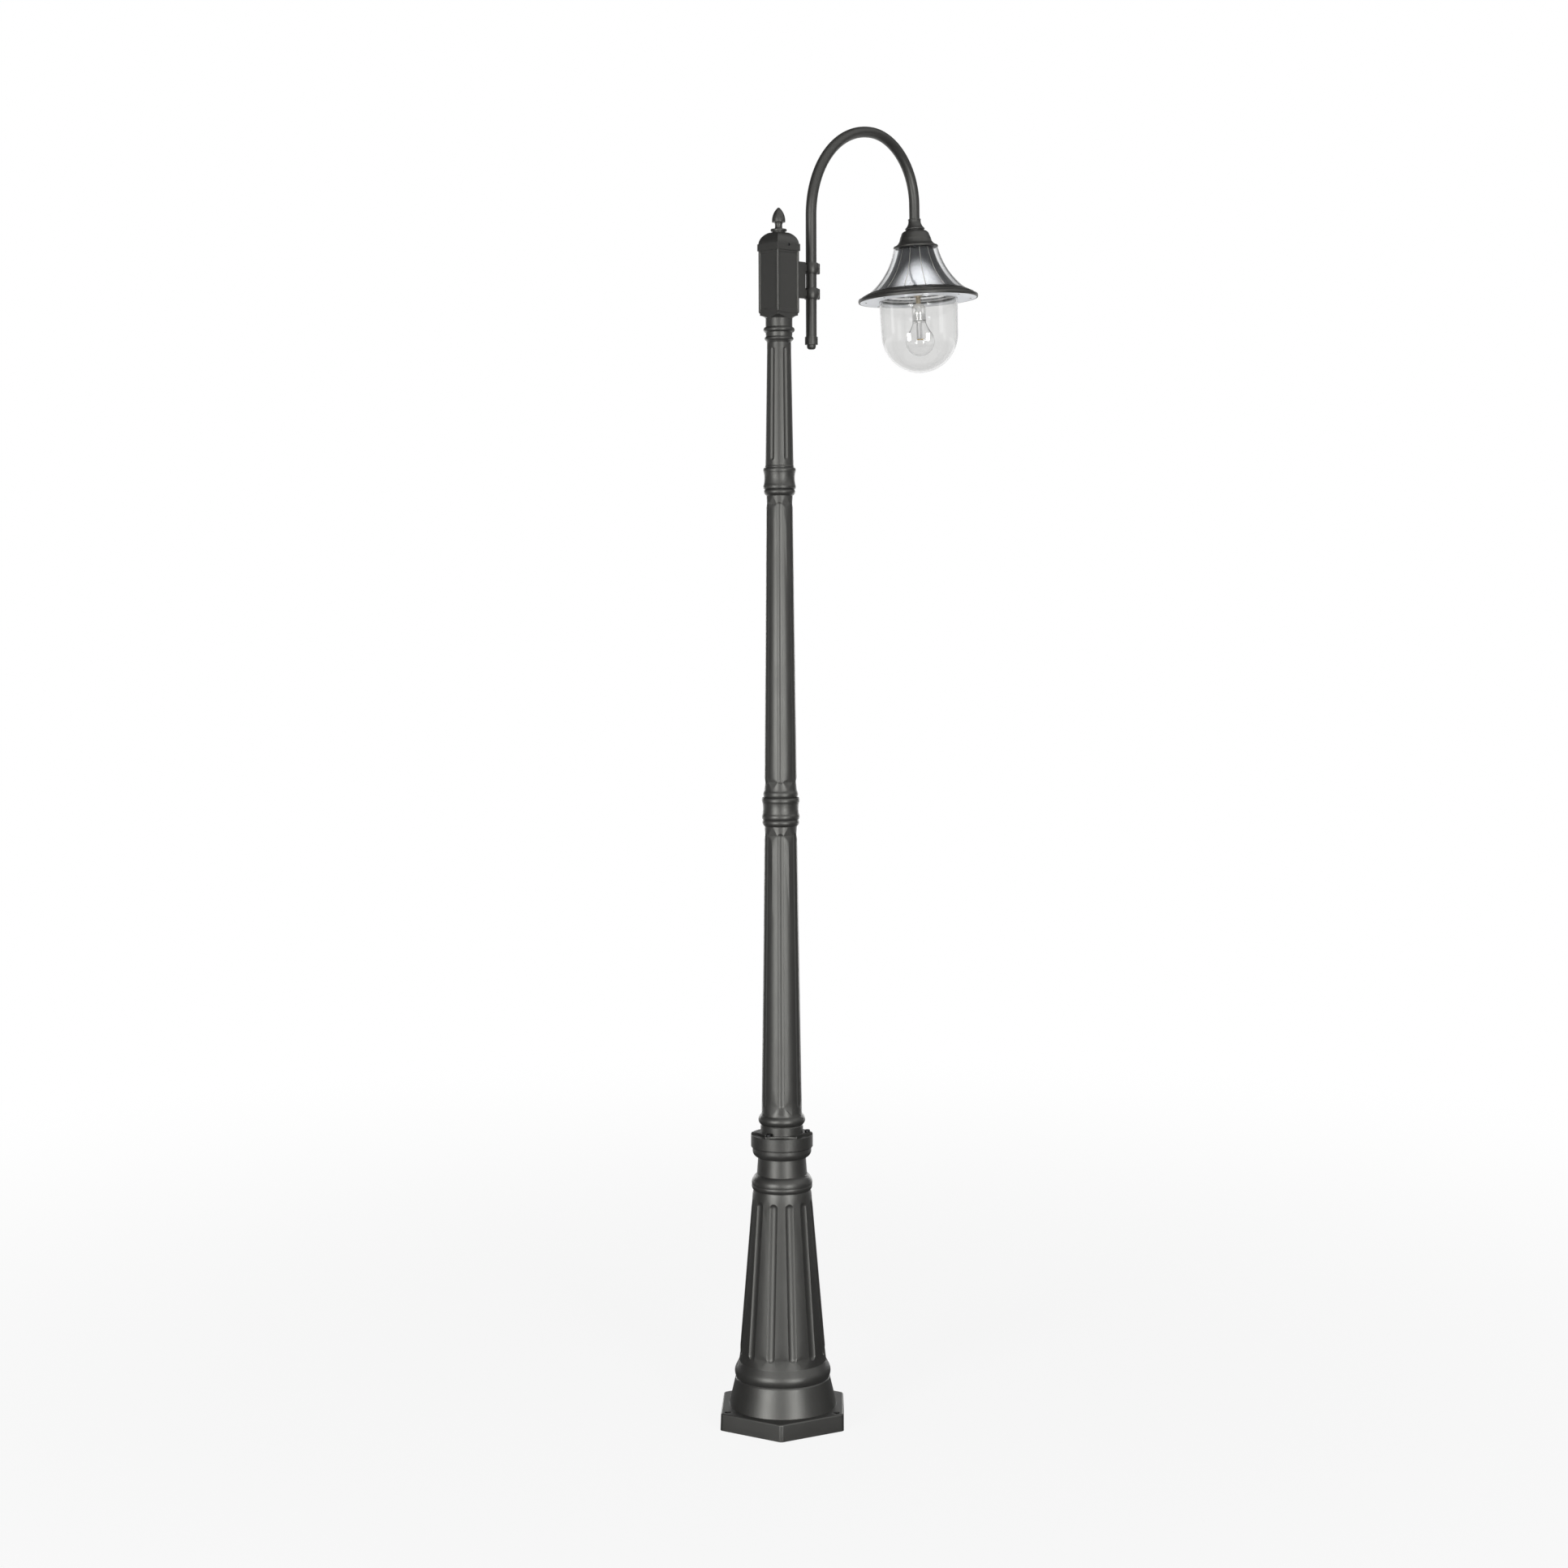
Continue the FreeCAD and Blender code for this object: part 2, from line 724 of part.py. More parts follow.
def lower_shaft(foot):
    """Fluted shaft with a bolted flange at its foot and a spigot at its head."""
    s = size
    body = new_body("lower_shaft")
    plate_top = s.flange_band_height + s.flange_plate_height
    bead_end = s.lower_foot_radius - s.lower_groove_depth
    top_start = s.lower_shaft_top_radius + s.lower_top_lip
    outer = stack(0, [
        (0, 0),
        (s.flange_radius - s.flange_edge_round, 0),
        (s.flange_radius, s.flange_edge_round),
        (s.flange_radius, s.flange_band_height - s.flange_edge_round),
        (s.lower_foot_radius, 0),
        (s.lower_foot_radius, s.flange_plate_height),
        (s.lower_foot_radius, s.lower_foot_climb),
        (bead_end, s.lower_groove_climb, s.lower_bead_rise),
        (bead_end, s.lower_bead_climb),
        (s.lower_shaft_foot_radius, s.lower_cove_climb),
        (s.lower_shaft_top_radius, s.lower_shaft_climb),
        (top_start, s.lower_top_lip, s.lower_top_bead_rise),
        (top_start, s.lower_top_bead_climb),
        (s.mid_spigot_radius, 0),
        (s.mid_spigot_radius, mid_sleeve_height + s.mid_spigot_engage),
        (0, 0),
    ])
    turn(body, outer)
    star = sketch_on(body, "XY_Plane", s.flange_band_height)
    outline(star, hexagon(s.flange_radius - s.flange_corner_inset, HEX_HALF, s.flange_side_hollow))
    pad(body, star, s.flange_plate_height)
    spigot = sketch_on(body, "XY_Plane", -s.flange_spigot_depth)
    circle(spigot, 0.0, 0.0, s.base_bore_radius - s.fit_gap)
    pad(body, spigot, s.flange_spigot_depth)
    shaft_foot = outer[9]
    shaft_head = outer[10]
    spigot_bore = s.mid_spigot_radius - s.spigot_wall
    top = outer[12][1]
    turn(body, [
        (0, -s.flange_spigot_depth),
        (shaft_foot[0] - s.shaft_wall, -s.flange_spigot_depth),
        (shaft_foot[0] - s.shaft_wall, shaft_foot[1]),
        (spigot_bore, shaft_head[1] - s.lower_cove_climb),
        (spigot_bore, outer[14][1]),
        (0, outer[14][1]),
    ], cut=True)
    holes = sketch_on(body, "XY_Plane", plate_top)
    for step in range(3):
        angle = math.radians(HEX_HALF + THIRD * step)
        ring = s.flange_screw_circle / 2
        circle(holes, ring * math.cos(angle), ring * math.sin(angle), s.flange_screw_radius + s.fit_gap)
    pocket(body, holes, plate_top)
    flutes(body, shaft_foot, shaft_head, s.shaft_flute_count, s.lower_flute_width, s.lower_flute_depth,
           (s.shaft_flute_gap, s.shaft_flute_gap))
    seat(body, foot, s.foot_turn)
    single = screw("flange_screw", s.flange_head_radius, s.flange_head_height, s.flange_screw_radius,
                   plate_top + s.flange_screw_depth)
    screws = group("flange_screws", single, ring_places(3, s.flange_screw_circle / 2, plate_top, HEX_HALF))
    seat(screws, foot, s.foot_turn)
    return foot + top


def sleeve(label, foot, radius, bead_climb, bead_rise, waist_climb, waist_hollow, bore):
    """A waisted ring with a bead at each end, slipped over the spigot between two shafts."""
    body = new_body(label)
    outer = stack(0, [
        (bore, 0),
        (radius, 0, bead_rise),
        (radius, bead_climb, 0 - waist_hollow),
        (radius, waist_climb, bead_rise),
        (radius, bead_climb),
        (bore, 0),
    ])
    turn(body, outer)
    seat(body, foot)


def upper_shaft(foot):
    """Fluted shaft whose socket drops over the lower spigot, with a smaller spigot at its head."""
    s = size
    body = new_body("upper_shaft")
    top_start = s.upper_shaft_top_radius + s.upper_top_lip
    outer = stack(0, [
        (0, 0),
        (s.upper_bead_radius, 0, s.upper_bead_rise),
        (s.upper_bead_radius, s.upper_bead_climb),
        (s.upper_shaft_foot_radius, s.upper_top_lip),
        (s.upper_shaft_top_radius, s.upper_shaft_climb),
        (top_start, s.upper_top_lip, s.upper_top_bead_rise),
        (top_start, s.upper_top_bead_climb),
        (s.neck_spigot_radius, 0),
        (s.neck_spigot_radius, upper_sleeve_height + s.neck_spigot_engage),
        (0, 0),
    ])
    turn(body, outer)
    socket = s.mid_spigot_radius + s.fit_gap
    socket_depth = s.mid_spigot_engage + s.fit_gap
    spigot_bore = s.neck_spigot_radius - s.spigot_wall
    turn(body, [
        (0, 0),
        (socket, 0),
        (socket, socket_depth),
        (socket - s.spigot_wall, socket_depth),
        (spigot_bore, outer[4][1]),
        (spigot_bore, outer[8][1]),
        (0, outer[8][1]),
    ], cut=True)
    flutes(body, outer[3], outer[4], s.shaft_flute_count, s.upper_flute_width, s.upper_flute_depth,
           (s.shaft_flute_gap, s.shaft_flute_gap))
    seat(body, foot, s.foot_turn)
    return foot + outer[6][1]


def neck_section(foot):
    """Short fluted taper with two turned rings, screwed into the floor of the head."""
    s = size
    body = new_body("neck_section")
    outer = stack(0, [
        (0, 0),
        (s.neck_foot_radius, 0, s.neck_line_rise),
        (s.neck_foot_radius, s.neck_line_climb),
        (s.neck_top_radius, s.neck_cone_climb),
        (s.neck_ring_radius, s.neck_cove_climb, s.neck_ring_rise),
        (s.neck_ring_radius, s.neck_ring_climb),
        (s.neck_collar_radius, s.neck_gap_climb, s.neck_upper_ring_rise),
        (s.neck_collar_radius, s.neck_upper_ring_climb),
        (s.neck_collar_radius, s.neck_collar_climb),
        (s.head_spigot_radius, 0),
        (s.head_spigot_radius, s.head_spigot_height),
        (0, 0),
    ])
    turn(body, outer)
    socket = s.neck_spigot_radius + s.fit_gap
    bore = s.head_spigot_radius - s.spigot_wall
    socket_depth = s.neck_spigot_engage + s.fit_gap
    turn(body, [
        (0, 0),
        (socket, 0),
        (socket, socket_depth),
        (bore, socket_depth),
        (bore, outer[10][1]),
        (0, outer[10][1]),
    ], cut=True)
    flutes(body, outer[2], outer[3], s.shaft_flute_count, s.neck_flute_width, s.neck_flute_depth,
           (s.neck_flute_gap, s.neck_flute_gap))
    seat(body, foot, s.foot_turn + HEX_HALF)
    return foot + outer[8][1]


def head_casing(foot):
    """Square hollow head with sunk panels and corner beads, on a narrower foot with an ogee underside."""
    s = size
    body = new_body("head_casing")
    half = s.casing_width / 2
    corner = s.casing_width * math.sqrt(0.5)
    block = sketch_on(body, "XY_Plane")
    box_outline(block, -half, -half, half, half)
    pad(body, block, s.casing_height)
    panel = sketch_on(body, "YZ_Plane", half)
    box_outline(panel, s.panel_border - half, s.panel_bottom, half - s.panel_border,
                s.panel_bottom + s.panel_height)
    around(body, [pocket(body, panel, s.panel_depth)], 4)
    ledge = sketch_on(body, "XY_Plane")
    foot_half = half - s.casing_foot_inset
    box_outline(ledge, -s.casing_width, -s.casing_width, s.casing_width, s.casing_width)
    box_outline(ledge, -foot_half, -foot_half, foot_half, foot_half)
    pocket(body, ledge, s.casing_foot_height, away=True)
    turn(body, [
        (s.neck_collar_radius, 0),
        (corner + s.corner_bead_radius, 0),
        (corner + s.corner_bead_radius, s.casing_ogee_climb),
        (corner, s.casing_ogee_climb, s.casing_ogee_hollow),
    ], cut=True)
    beads = sketch_on(body, "XZ_Plane", swing=45)
    bead_x = corner - s.corner_bead_radius
    bead_edge = bead_x + s.corner_bead_reach
    bead_top = s.casing_height - s.cap_lap - s.fit_gap
    outline(beads, [
        (bead_x, bead_top),
        (bead_x, s.corner_bead_bottom),
        (bead_edge, s.corner_bead_bottom + s.corner_bead_radius),
        (bead_edge, bead_top),
    ])
    bead = body.newObject("PartDesign::Revolution", "corner_bead")
    bead.Profile = beads
    bead.ReferenceAxis = (beads, ["Edge1"])
    bead.Angle = 360
    around(body, [bead], 4)
    well = sketch_on(body, "XY_Plane", s.casing_height)
    inner = half - s.casing_wall
    box_outline(well, -inner, -inner, inner, inner)
    pocket(body, well, s.casing_height - s.casing_floor)
    bore = sketch_on(body, "XY_Plane")
    circle(bore, 0.0, 0.0, s.head_spigot_radius + s.fit_gap)
    pocket(body, bore, s.casing_floor, away=True)
    cap_holes = sketch_on(body, "XZ_Plane")
    circle(cap_holes, 0.0, s.casing_height - s.cap_lap + s.cap_skirt_height - s.cap_screw_drop,
           s.cap_screw_radius + s.fit_gap)
    pocket(body, cap_holes, s.casing_width * 2, middle=True)
    bracket_holes = sketch_on(body, "YZ_Plane", half)
    for across, up in bracket_screw_spots():
        circle(bracket_holes, across, s.bracket_centre_height + up, s.bracket_screw_radius + s.fit_gap)
    pocket(body, bracket_holes, s.casing_wall)
    seat(body, foot)


def casing_cap(foot):
    """Square cap with a lapped skirt and a vaulted dome. Foot is the height of its skirt's edge."""
    s = size
    body = new_body("casing_cap")
    inner = s.casing_width / 2 + s.fit_gap
    half = inner + s.cap_skirt_thickness
    dome_half = half - s.cap_dome_inset
    top = s.cap_skirt_height + s.cap_dome_climb
    block = sketch_on(body, "XY_Plane")
    box_outline(block, -half, -half, half, half)
    pad(body, block, top)
    for plane in ("XZ_Plane", "YZ_Plane"):
        vault = sketch_on(body, plane)
        outline(vault, [
            (half * 2, s.cap_skirt_height),
            (half * 2, top),
            (s.cap_dome_top_half, top, -s.cap_dome_rise),
            (dome_half, s.cap_skirt_height),
        ])
        outline(vault, [
            (-dome_half, s.cap_skirt_height, -s.cap_dome_rise),
            (-s.cap_dome_top_half, top),
            (half * -2, top),
            (half * -2, s.cap_skirt_height),
        ])
        pocket(body, vault, half * 4, middle=True)
    lap = sketch_on(body, "XY_Plane")
    box_outline(lap, -inner, -inner, inner, inner)
    pocket(body, lap, s.cap_lap, away=True)
    stud_hole = sketch_on(body, "XY_Plane", top)
    circle(stud_hole, 0.0, 0.0, s.finial_stud_radius + s.fit_gap)
    pocket(body, stud_hole, s.finial_stud_length + s.fit_gap)
    screw_height = s.cap_skirt_height - s.cap_screw_drop
    holes = sketch_on(body, "XZ_Plane")
    circle(holes, 0.0, screw_height, s.cap_screw_radius + s.fit_gap)
    pocket(body, holes, half * 4, middle=True)
    seat(body, foot)
    single = screw("cap_screw", s.cap_head_radius, s.cap_head_height, s.cap_screw_radius, s.cap_screw_length)
    places = [
        FreeCAD.Placement(FreeCAD.Vector(0, -side * half, screw_height),
                          FreeCAD.Rotation(FreeCAD.Vector(1, 0, 0), side * 90))
        for side in (1, -1)
    ]
    seat(group("cap_screws", single, places), foot)
    return foot + top


def finial(foot):
    """Turned acorn on a stepped flange, with a stud that screws into the cap."""
    s = size
    body = new_body("finial")
    tip_climb = s.finial_tip_radius / 2
    tip_chord = s.finial_tip_radius * s.finial_tip_radius + tip_climb * tip_climb
    tip_round = tip_chord / (tip_climb * 2)
    tip_rise = tip_round - root(tip_round * tip_round - tip_chord / 4)
    turn(body, stack(-s.finial_stud_length, [
        (0, 0),
        (s.finial_stud_radius, 0),
        (s.finial_stud_radius, s.finial_stud_length),
        (s.finial_foot_radius, 0),
        (s.finial_foot_radius, s.finial_foot_climb),
        (s.finial_flange_radius, 0, s.finial_flange_rise),
        (s.finial_flange_radius, s.finial_flange_climb),
        (s.finial_flare_radius, 0, -s.finial_neck_hollow),
        (s.finial_neck_radius, s.finial_neck_climb, -s.finial_acorn_seat_hollow),
        (s.finial_flare_radius, s.finial_acorn_seat_climb),
        (s.finial_acorn_radius, 0),
        (s.finial_acorn_radius, s.finial_skirt_climb, s.finial_acorn_rise),
        (s.finial_tip_radius, s.finial_acorn_climb, tip_rise),
        (0, tip_climb),
    ]))
    seat(body, foot)


def bracket_screw_spots():
    """Where the bracket's four screws stand on its flange, across and up from its centre."""
    across = size.bracket_flange_width / 2 - size.bracket_screw_inset
    up = size.bracket_height / 2 - size.bracket_screw_inset
    return [(across, up), (-across, up), (-across, -up), (across, -up)]


def arm_bracket(centre):
    """Cast bracket: flange on the head, upright web and two bulged clamp rings with screw bosses."""
    s = size
    body = new_body("arm_bracket")
    face = s.casing_width / 2 - s.panel_depth
    half = s.bracket_height / 2
    ring_low = half - s.ring_height
    ring_middle = half - s.ring_height / 2
    bore = s.arm_tube_radius + s.fit_gap
    ring_edge = s.arm_offset + bore + s.ring_wall
    web_end = face + s.bracket_web_reach
    neck = s.ring_arm_half_height
    flange = sketch_on(body, "YZ_Plane", face)
    box_outline(flange, s.bracket_flange_width / -2, -half, s.bracket_flange_width / 2, half)
    pad(body, flange, s.bracket_flange_thickness)
    web = sketch_on(body, "XZ_Plane")
    outline(web, [
        (face, -half),
        (web_end, -half),
        (web_end, 0 - ring_middle - neck),
        (s.arm_offset, 0 - ring_middle - neck),
        (s.arm_offset, neck - ring_middle),
        (web_end, neck - ring_middle),
        (web_end, ring_middle - neck),
        (s.arm_offset, ring_middle - neck),
        (s.arm_offset, ring_middle + neck),
        (web_end, ring_middle + neck),
        (web_end, half),
        (face, half),
    ])
    pad(body, web, s.bracket_web_thickness, middle=True)
    ring = sketch_on(body, "XZ_Plane")
    outline(ring, [
        (s.arm_offset, half),
        (s.arm_offset, ring_low),
        (ring_edge, ring_low, s.ring_bulge),
        (ring_edge, half),
    ])
    bulge = body.newObject("PartDesign::Revolution", "clamp_ring")
    bulge.Profile = ring
    bulge.ReferenceAxis = (ring, ["Edge1"])
    bulge.Angle = 360
    boss_end = s.arm_offset + s.ring_boss_reach
    corner = s.ring_boss_round * QUARTER_RISE
    lug = sketch_on(body, "XZ_Plane")
    outline(lug, [
        (s.arm_offset, ring_low),
        (boss_end - s.ring_boss_round, ring_low, corner),
        (boss_end, ring_low + s.ring_boss_round),
        (boss_end, half - s.ring_boss_round, corner),
        (boss_end - s.ring_boss_round, half),
        (s.arm_offset, half),
    ])
    boss = pad(body, lug, s.ring_boss_width, middle=True)
    mirrored = body.newObject("PartDesign::Mirrored", "lower_ring")
    mirrored.Originals = [bulge, boss]
    mirrored.MirrorPlane = (origin_feature(body, "XY_Plane"), [""])
    body.Tip = mirrored
    tube_bore = sketch_on(body, "XY_Plane")
    circle(tube_bore, s.arm_offset, 0.0, bore)
    pocket(body, tube_bore, s.bracket_height * 2, middle=True)
    taps = sketch_on(body, "YZ_Plane", s.arm_offset)
    for side in (1, -1):
        circle(taps, 0.0, ring_middle * side, s.clamp_screw_radius + s.fit_gap)
    pocket(body, taps, s.ring_boss_reach, away=True)
    holes = sketch_on(body, "YZ_Plane", face)
    for across, up in bracket_screw_spots():
        circle(holes, across, up, s.bracket_screw_radius + s.fit_gap)
    pocket(body, holes, s.bracket_flange_thickness, away=True)
    seat(body, centre)
    outward = FreeCAD.Rotation(FreeCAD.Vector(0, 1, 0), 90)
    single = screw("bracket_screw", s.bracket_head_radius, s.bracket_head_height, s.bracket_screw_radius,
                   s.bracket_flange_thickness + s.casing_wall - s.panel_depth)
    places = [
        FreeCAD.Placement(FreeCAD.Vector(face + s.bracket_flange_thickness, across, up), outward)
        for across, up in bracket_screw_spots()
    ]
    seat(group("bracket_screws", single, places), centre)
    grub = grub_screw("clamp_screw", s.clamp_screw_radius, s.ring_boss_reach - bore)
    places = [
        FreeCAD.Placement(FreeCAD.Vector(s.arm_offset + bore, 0, ring_middle * side), outward)
        for side in (1, -1)
    ]
    seat(group("clamp_screws", grub, places), centre)


def grub_screw(label, radius, length):
    """A headless screw with a socket in its outer end, standing on its own origin plane."""
    body = new_body(label)
    turn(body, stack(0, [
        (0, 0),
        (radius, 0),
        (radius, length),
        (radius / 2, 0),
        (radius / 2, length / -2),
        (0, 0),
    ]))
    return body


def arm_tube(foot):
    """Bent tube: upright leg, arch in two radii and a straight tail that enters the lamp coupler.

    Returns the lamp's place. The coupler's socket is slack, so the lamp hangs a little askew on the tail.
    """
    s = size
    body = new_body("arm_tube")
    cos_lean = Size(math.cos(math.radians(s.lamp_lean)), f"cos({s.lamp_lean.formula})")
    sin_lean = Size(math.sin(math.radians(s.lamp_lean)), f"sin({s.lamp_lean.formula})")
    fall_z = s.arm_leg_length + s.arm_rise_radius - s.arm_fall_radius
    end_x = s.arm_rise_radius + s.arm_fall_radius * cos_lean
    end_z = fall_z + s.arm_fall_radius * sin_lean
    straight = s.arm_drop_length + s.arm_socket_depth
    tail_x = end_x + straight * sin_lean
    tail_z = end_z - straight * cos_lean
    section = sketch_on(body, "XY_Plane")
    circle(section, 0.0, 0.0, s.arm_tube_radius)
    circle(section, 0.0, 0.0, s.arm_tube_radius - s.arm_tube_wall)
    route = sketch_on(body, "XZ_Plane")
    start = FreeCAD.Vector(0, 0, 0)
    bend = FreeCAD.Vector(0, float(s.arm_leg_length), 0)
    end = FreeCAD.Vector(float(end_x), float(end_z), 0)
    tail = FreeCAD.Vector(float(tail_x), float(tail_z), 0)
    upward = FreeCAD.Vector(0, 0, 1)
    rise_middle = FreeCAD.Vector(float(s.arm_rise_radius), float(s.arm_leg_length), 0)
    fall_middle = FreeCAD.Vector(float(s.arm_rise_radius), float(fall_z), 0)
    rise = Part.Circle(rise_middle, upward, float(s.arm_rise_radius))
    fall = Part.Circle(fall_middle, upward, float(s.arm_fall_radius))
    route.addGeometry(Part.LineSegment(start, bend), False)
    route.addGeometry(Part.ArcOfCircle(rise, math.pi / 2, math.pi), False)
    route.addGeometry(Part.ArcOfCircle(fall, math.radians(s.lamp_lean), math.pi / 2), False)
    route.addGeometry(Part.LineSegment(end, tail), False)
    route.addConstraint(Sketcher.Constraint("Coincident", 0, 2, 1, 2))
    route.addConstraint(Sketcher.Constraint("Coincident", 1, 1, 2, 2))
    route.addConstraint(Sketcher.Constraint("Coincident", 2, 1, 3, 1))
    pin(route, 0, 1, 0.0, 0.0)
    pin(route, 0, 2, 0.0, s.arm_leg_length)
    pin(route, 1, 3, s.arm_rise_radius, s.arm_leg_length)
    tie(route, Sketcher.Constraint("DistanceX", -1, 1, 1, 1, float(s.arm_rise_radius)), s.arm_rise_radius)
    pin(route, 2, 3, s.arm_rise_radius, fall_z)
    tie(route, Sketcher.Constraint("DistanceY", -1, 1, 2, 1, float(end_z)), end_z)
    pin(route, 3, 2, tail_x, tail_z)
    pipe = body.newObject("PartDesign::AdditivePipe", "arm_pipe")
    pipe.Profile = section
    pipe.Spine = (route, ["Edge1", "Edge2", "Edge3", "Edge4"])
    seat(body, foot, s.arm_turn, x=s.arm_offset)
    plug = new_body("arm_end_plug")
    nose = s.plug_nose_round * QUARTER_RISE
    turn(plug, stack(-s.plug_ring_height - s.plug_nose_height, [
        (0, 0),
        (s.plug_nose_radius - s.plug_nose_round, 0, nose),
        (s.plug_nose_radius, s.plug_nose_round),
        (s.plug_nose_radius, s.plug_nose_height - s.plug_nose_round),
        (s.plug_ring_radius, 0),
        (s.plug_ring_radius, s.plug_ring_height),
        (s.arm_tube_radius - s.arm_tube_wall - s.fit_gap, 0),
        (s.arm_tube_radius - s.arm_tube_wall - s.fit_gap, s.plug_spigot_height),
        (0, 0),
    ]))
    seat(plug, foot, x=s.arm_offset)
    across = FreeCAD.Rotation(FreeCAD.Vector(0, 0, 1), float(s.arm_turn))
    lean = FreeCAD.Rotation(FreeCAD.Vector(0, 1, 0), -float(s.lamp_lean))
    sway = FreeCAD.Rotation(FreeCAD.Vector(1, 0, 0), -float(s.lamp_sway))
    hang = float(s.arm_drop_length + s.arm_socket_depth / 2)
    pivot = FreeCAD.Vector(float(end_x + hang * sin_lean), 0, float(end_z - hang * cos_lean))
    turned = across * lean * sway
    lamp_top = turned.multVec(FreeCAD.Vector(0, 0, float(s.arm_socket_depth / 2)))
    foot_point = FreeCAD.Vector(float(s.arm_offset), 0, float(foot))
    return FreeCAD.Placement(foot_point + across.multVec(pivot) + lamp_top, turned)


def lamp_body(label, place):
    """A body of the lamp, drawn in the lamp's frame: axis up, zero at the top of its coupler."""
    body = new_body(label)
    body.Placement = place
    return body


def lamp_coupler(place):
    """Flared coupler that takes the arm's tail, with its grub screw. Returns its underside's height."""
    s = size
    body = lamp_body("lamp_coupler", place)
    socket = s.arm_tube_radius + s.coupler_gap
    neck = socket + s.coupler_wall
    height = s.coupler_lip_climb + s.coupler_flare_climb + s.coupler_neck_climb + s.coupler_bead_climb
    tie_hole = s.tie_radius + s.fit_gap
    turn(body, stack(-height, [
        (tie_hole, 0),
        (s.coupler_lip_radius, 0, s.coupler_lip_rise),
        (s.coupler_lip_radius, s.coupler_lip_climb, -s.coupler_flare_hollow),
        (neck, s.coupler_flare_climb),
        (neck, s.coupler_neck_climb, s.coupler_bead_rise),
        (neck, s.coupler_bead_climb),
        (socket, 0),
        (socket, -s.arm_socket_depth - s.coupler_gap),
        (tie_hole, 0),
    ]))
    tap = sketch_on(body, "YZ_Plane")
    circle(tap, 0.0, -s.coupler_screw_drop, s.coupler_screw_radius + s.fit_gap)
    pocket(body, tap, s.coupler_lip_radius * 2, away=True)
    single = grub_screw("coupler_grub", s.coupler_screw_radius, s.coupler_screw_length)
    outward = FreeCAD.Rotation(FreeCAD.Vector(0, 1, 0), 90)
    spot = FreeCAD.Placement(FreeCAD.Vector(s.arm_tube_radius + s.fit_gap, 0, -s.coupler_screw_drop), outward)
    group("coupler_screw", single, [spot]).Placement = place
    return -height


def lamp_crown(place, top):
    """Spun crown over the bell's mouth. Returns its underside's height."""
    s = size
    body = lamp_body("lamp_crown", place)
    tie_hole = s.tie_radius + s.fit_gap
    height = (s.crown_rim_climb + s.crown_flare_climb + s.crown_body_climb + s.crown_shoulder_climb
              + s.crown_neck_climb)
    bottom = top - height
    roof = top - s.crown_neck_climb - s.crown_wall
    eave = roof - s.crown_shoulder_climb
    turn(body, [
        (s.crown_flare_top_radius - s.crown_wall / 2, bottom),
        (s.crown_rim_radius, bottom, s.crown_rim_rise),
        (s.crown_rim_radius, bottom + s.crown_rim_climb, -s.crown_flare_hollow),
        (s.crown_flare_top_radius, bottom + s.crown_rim_climb + s.crown_flare_climb),
        (s.crown_shoulder_radius, top - s.crown_neck_climb - s.crown_shoulder_climb, s.crown_shoulder_rise),
        (s.crown_neck_radius, top - s.crown_neck_climb),
        (s.crown_neck_radius, top),
        (tie_hole, top),
        (tie_hole, roof),
        (s.crown_neck_radius - s.crown_wall, roof),
        (s.crown_shoulder_radius - s.crown_eave_inset, eave),
    ])
    return bottom


def bell_layer(body, top, inset, wall, margin=0.0, angle=None):
    """One layer of the bell, between two arcs about the sweep's common centre.

    The centre lies outside and above the bell, so an inset layer has a larger radius.
    """
    s = size
    low = s.bell_sweep_lift + s.bell_height - margin
    high = s.bell_sweep_lift + margin
    sides = []
    for sweep in (s.bell_sweep_radius + inset, s.bell_sweep_radius + inset + wall):
        low_r = s.bell_sweep_offset - root(sweep * sweep - low * low)
        high_r = s.bell_sweep_offset - root(sweep * sweep - high * high)
        chord = (low_r - high_r) * (low_r - high_r) + (low - high) * (low - high)
        sides.append((low_r, high_r, sweep - root(sweep * sweep - chord / 4)))
    outer, inner = sides
    level = top + s.bell_sweep_lift
    feature = turn(body, [
        (inner[0], level - low),
        (outer[0], level - low, -outer[2]),
        (outer[1], level - high),
        (inner[1], level - high, inner[2]),
    ])
    if angle is not None:
        feature.Angle = float(angle)
        feature.setExpression("Angle", angle.formula)


def bell(place, top):
    """Clear moulded cover over a ring of solar strips on their carrier. Returns the bell's foot."""
    s = size
    bell_layer(lamp_body("shade_cover", place), top, Size(0, "0"), s.cover_wall)
    strip_inset = s.cover_wall + s.cover_air_gap
    strip = new_body("solar_strip")
    bell_layer(strip, top, strip_inset, s.strip_thickness, s.strip_margin,
               360 / float(s.strip_count) - s.strip_seam_turn)
    group("solar_strips", strip, ring_places(s.strip_count, 0.0, 0.0, float(s.strip_turn))).Placement = place
    bell_layer(lamp_body("strip_carrier", place), top, strip_inset + s.strip_thickness + s.fit_gap,
               s.carrier_wall)
    return top - s.bell_height


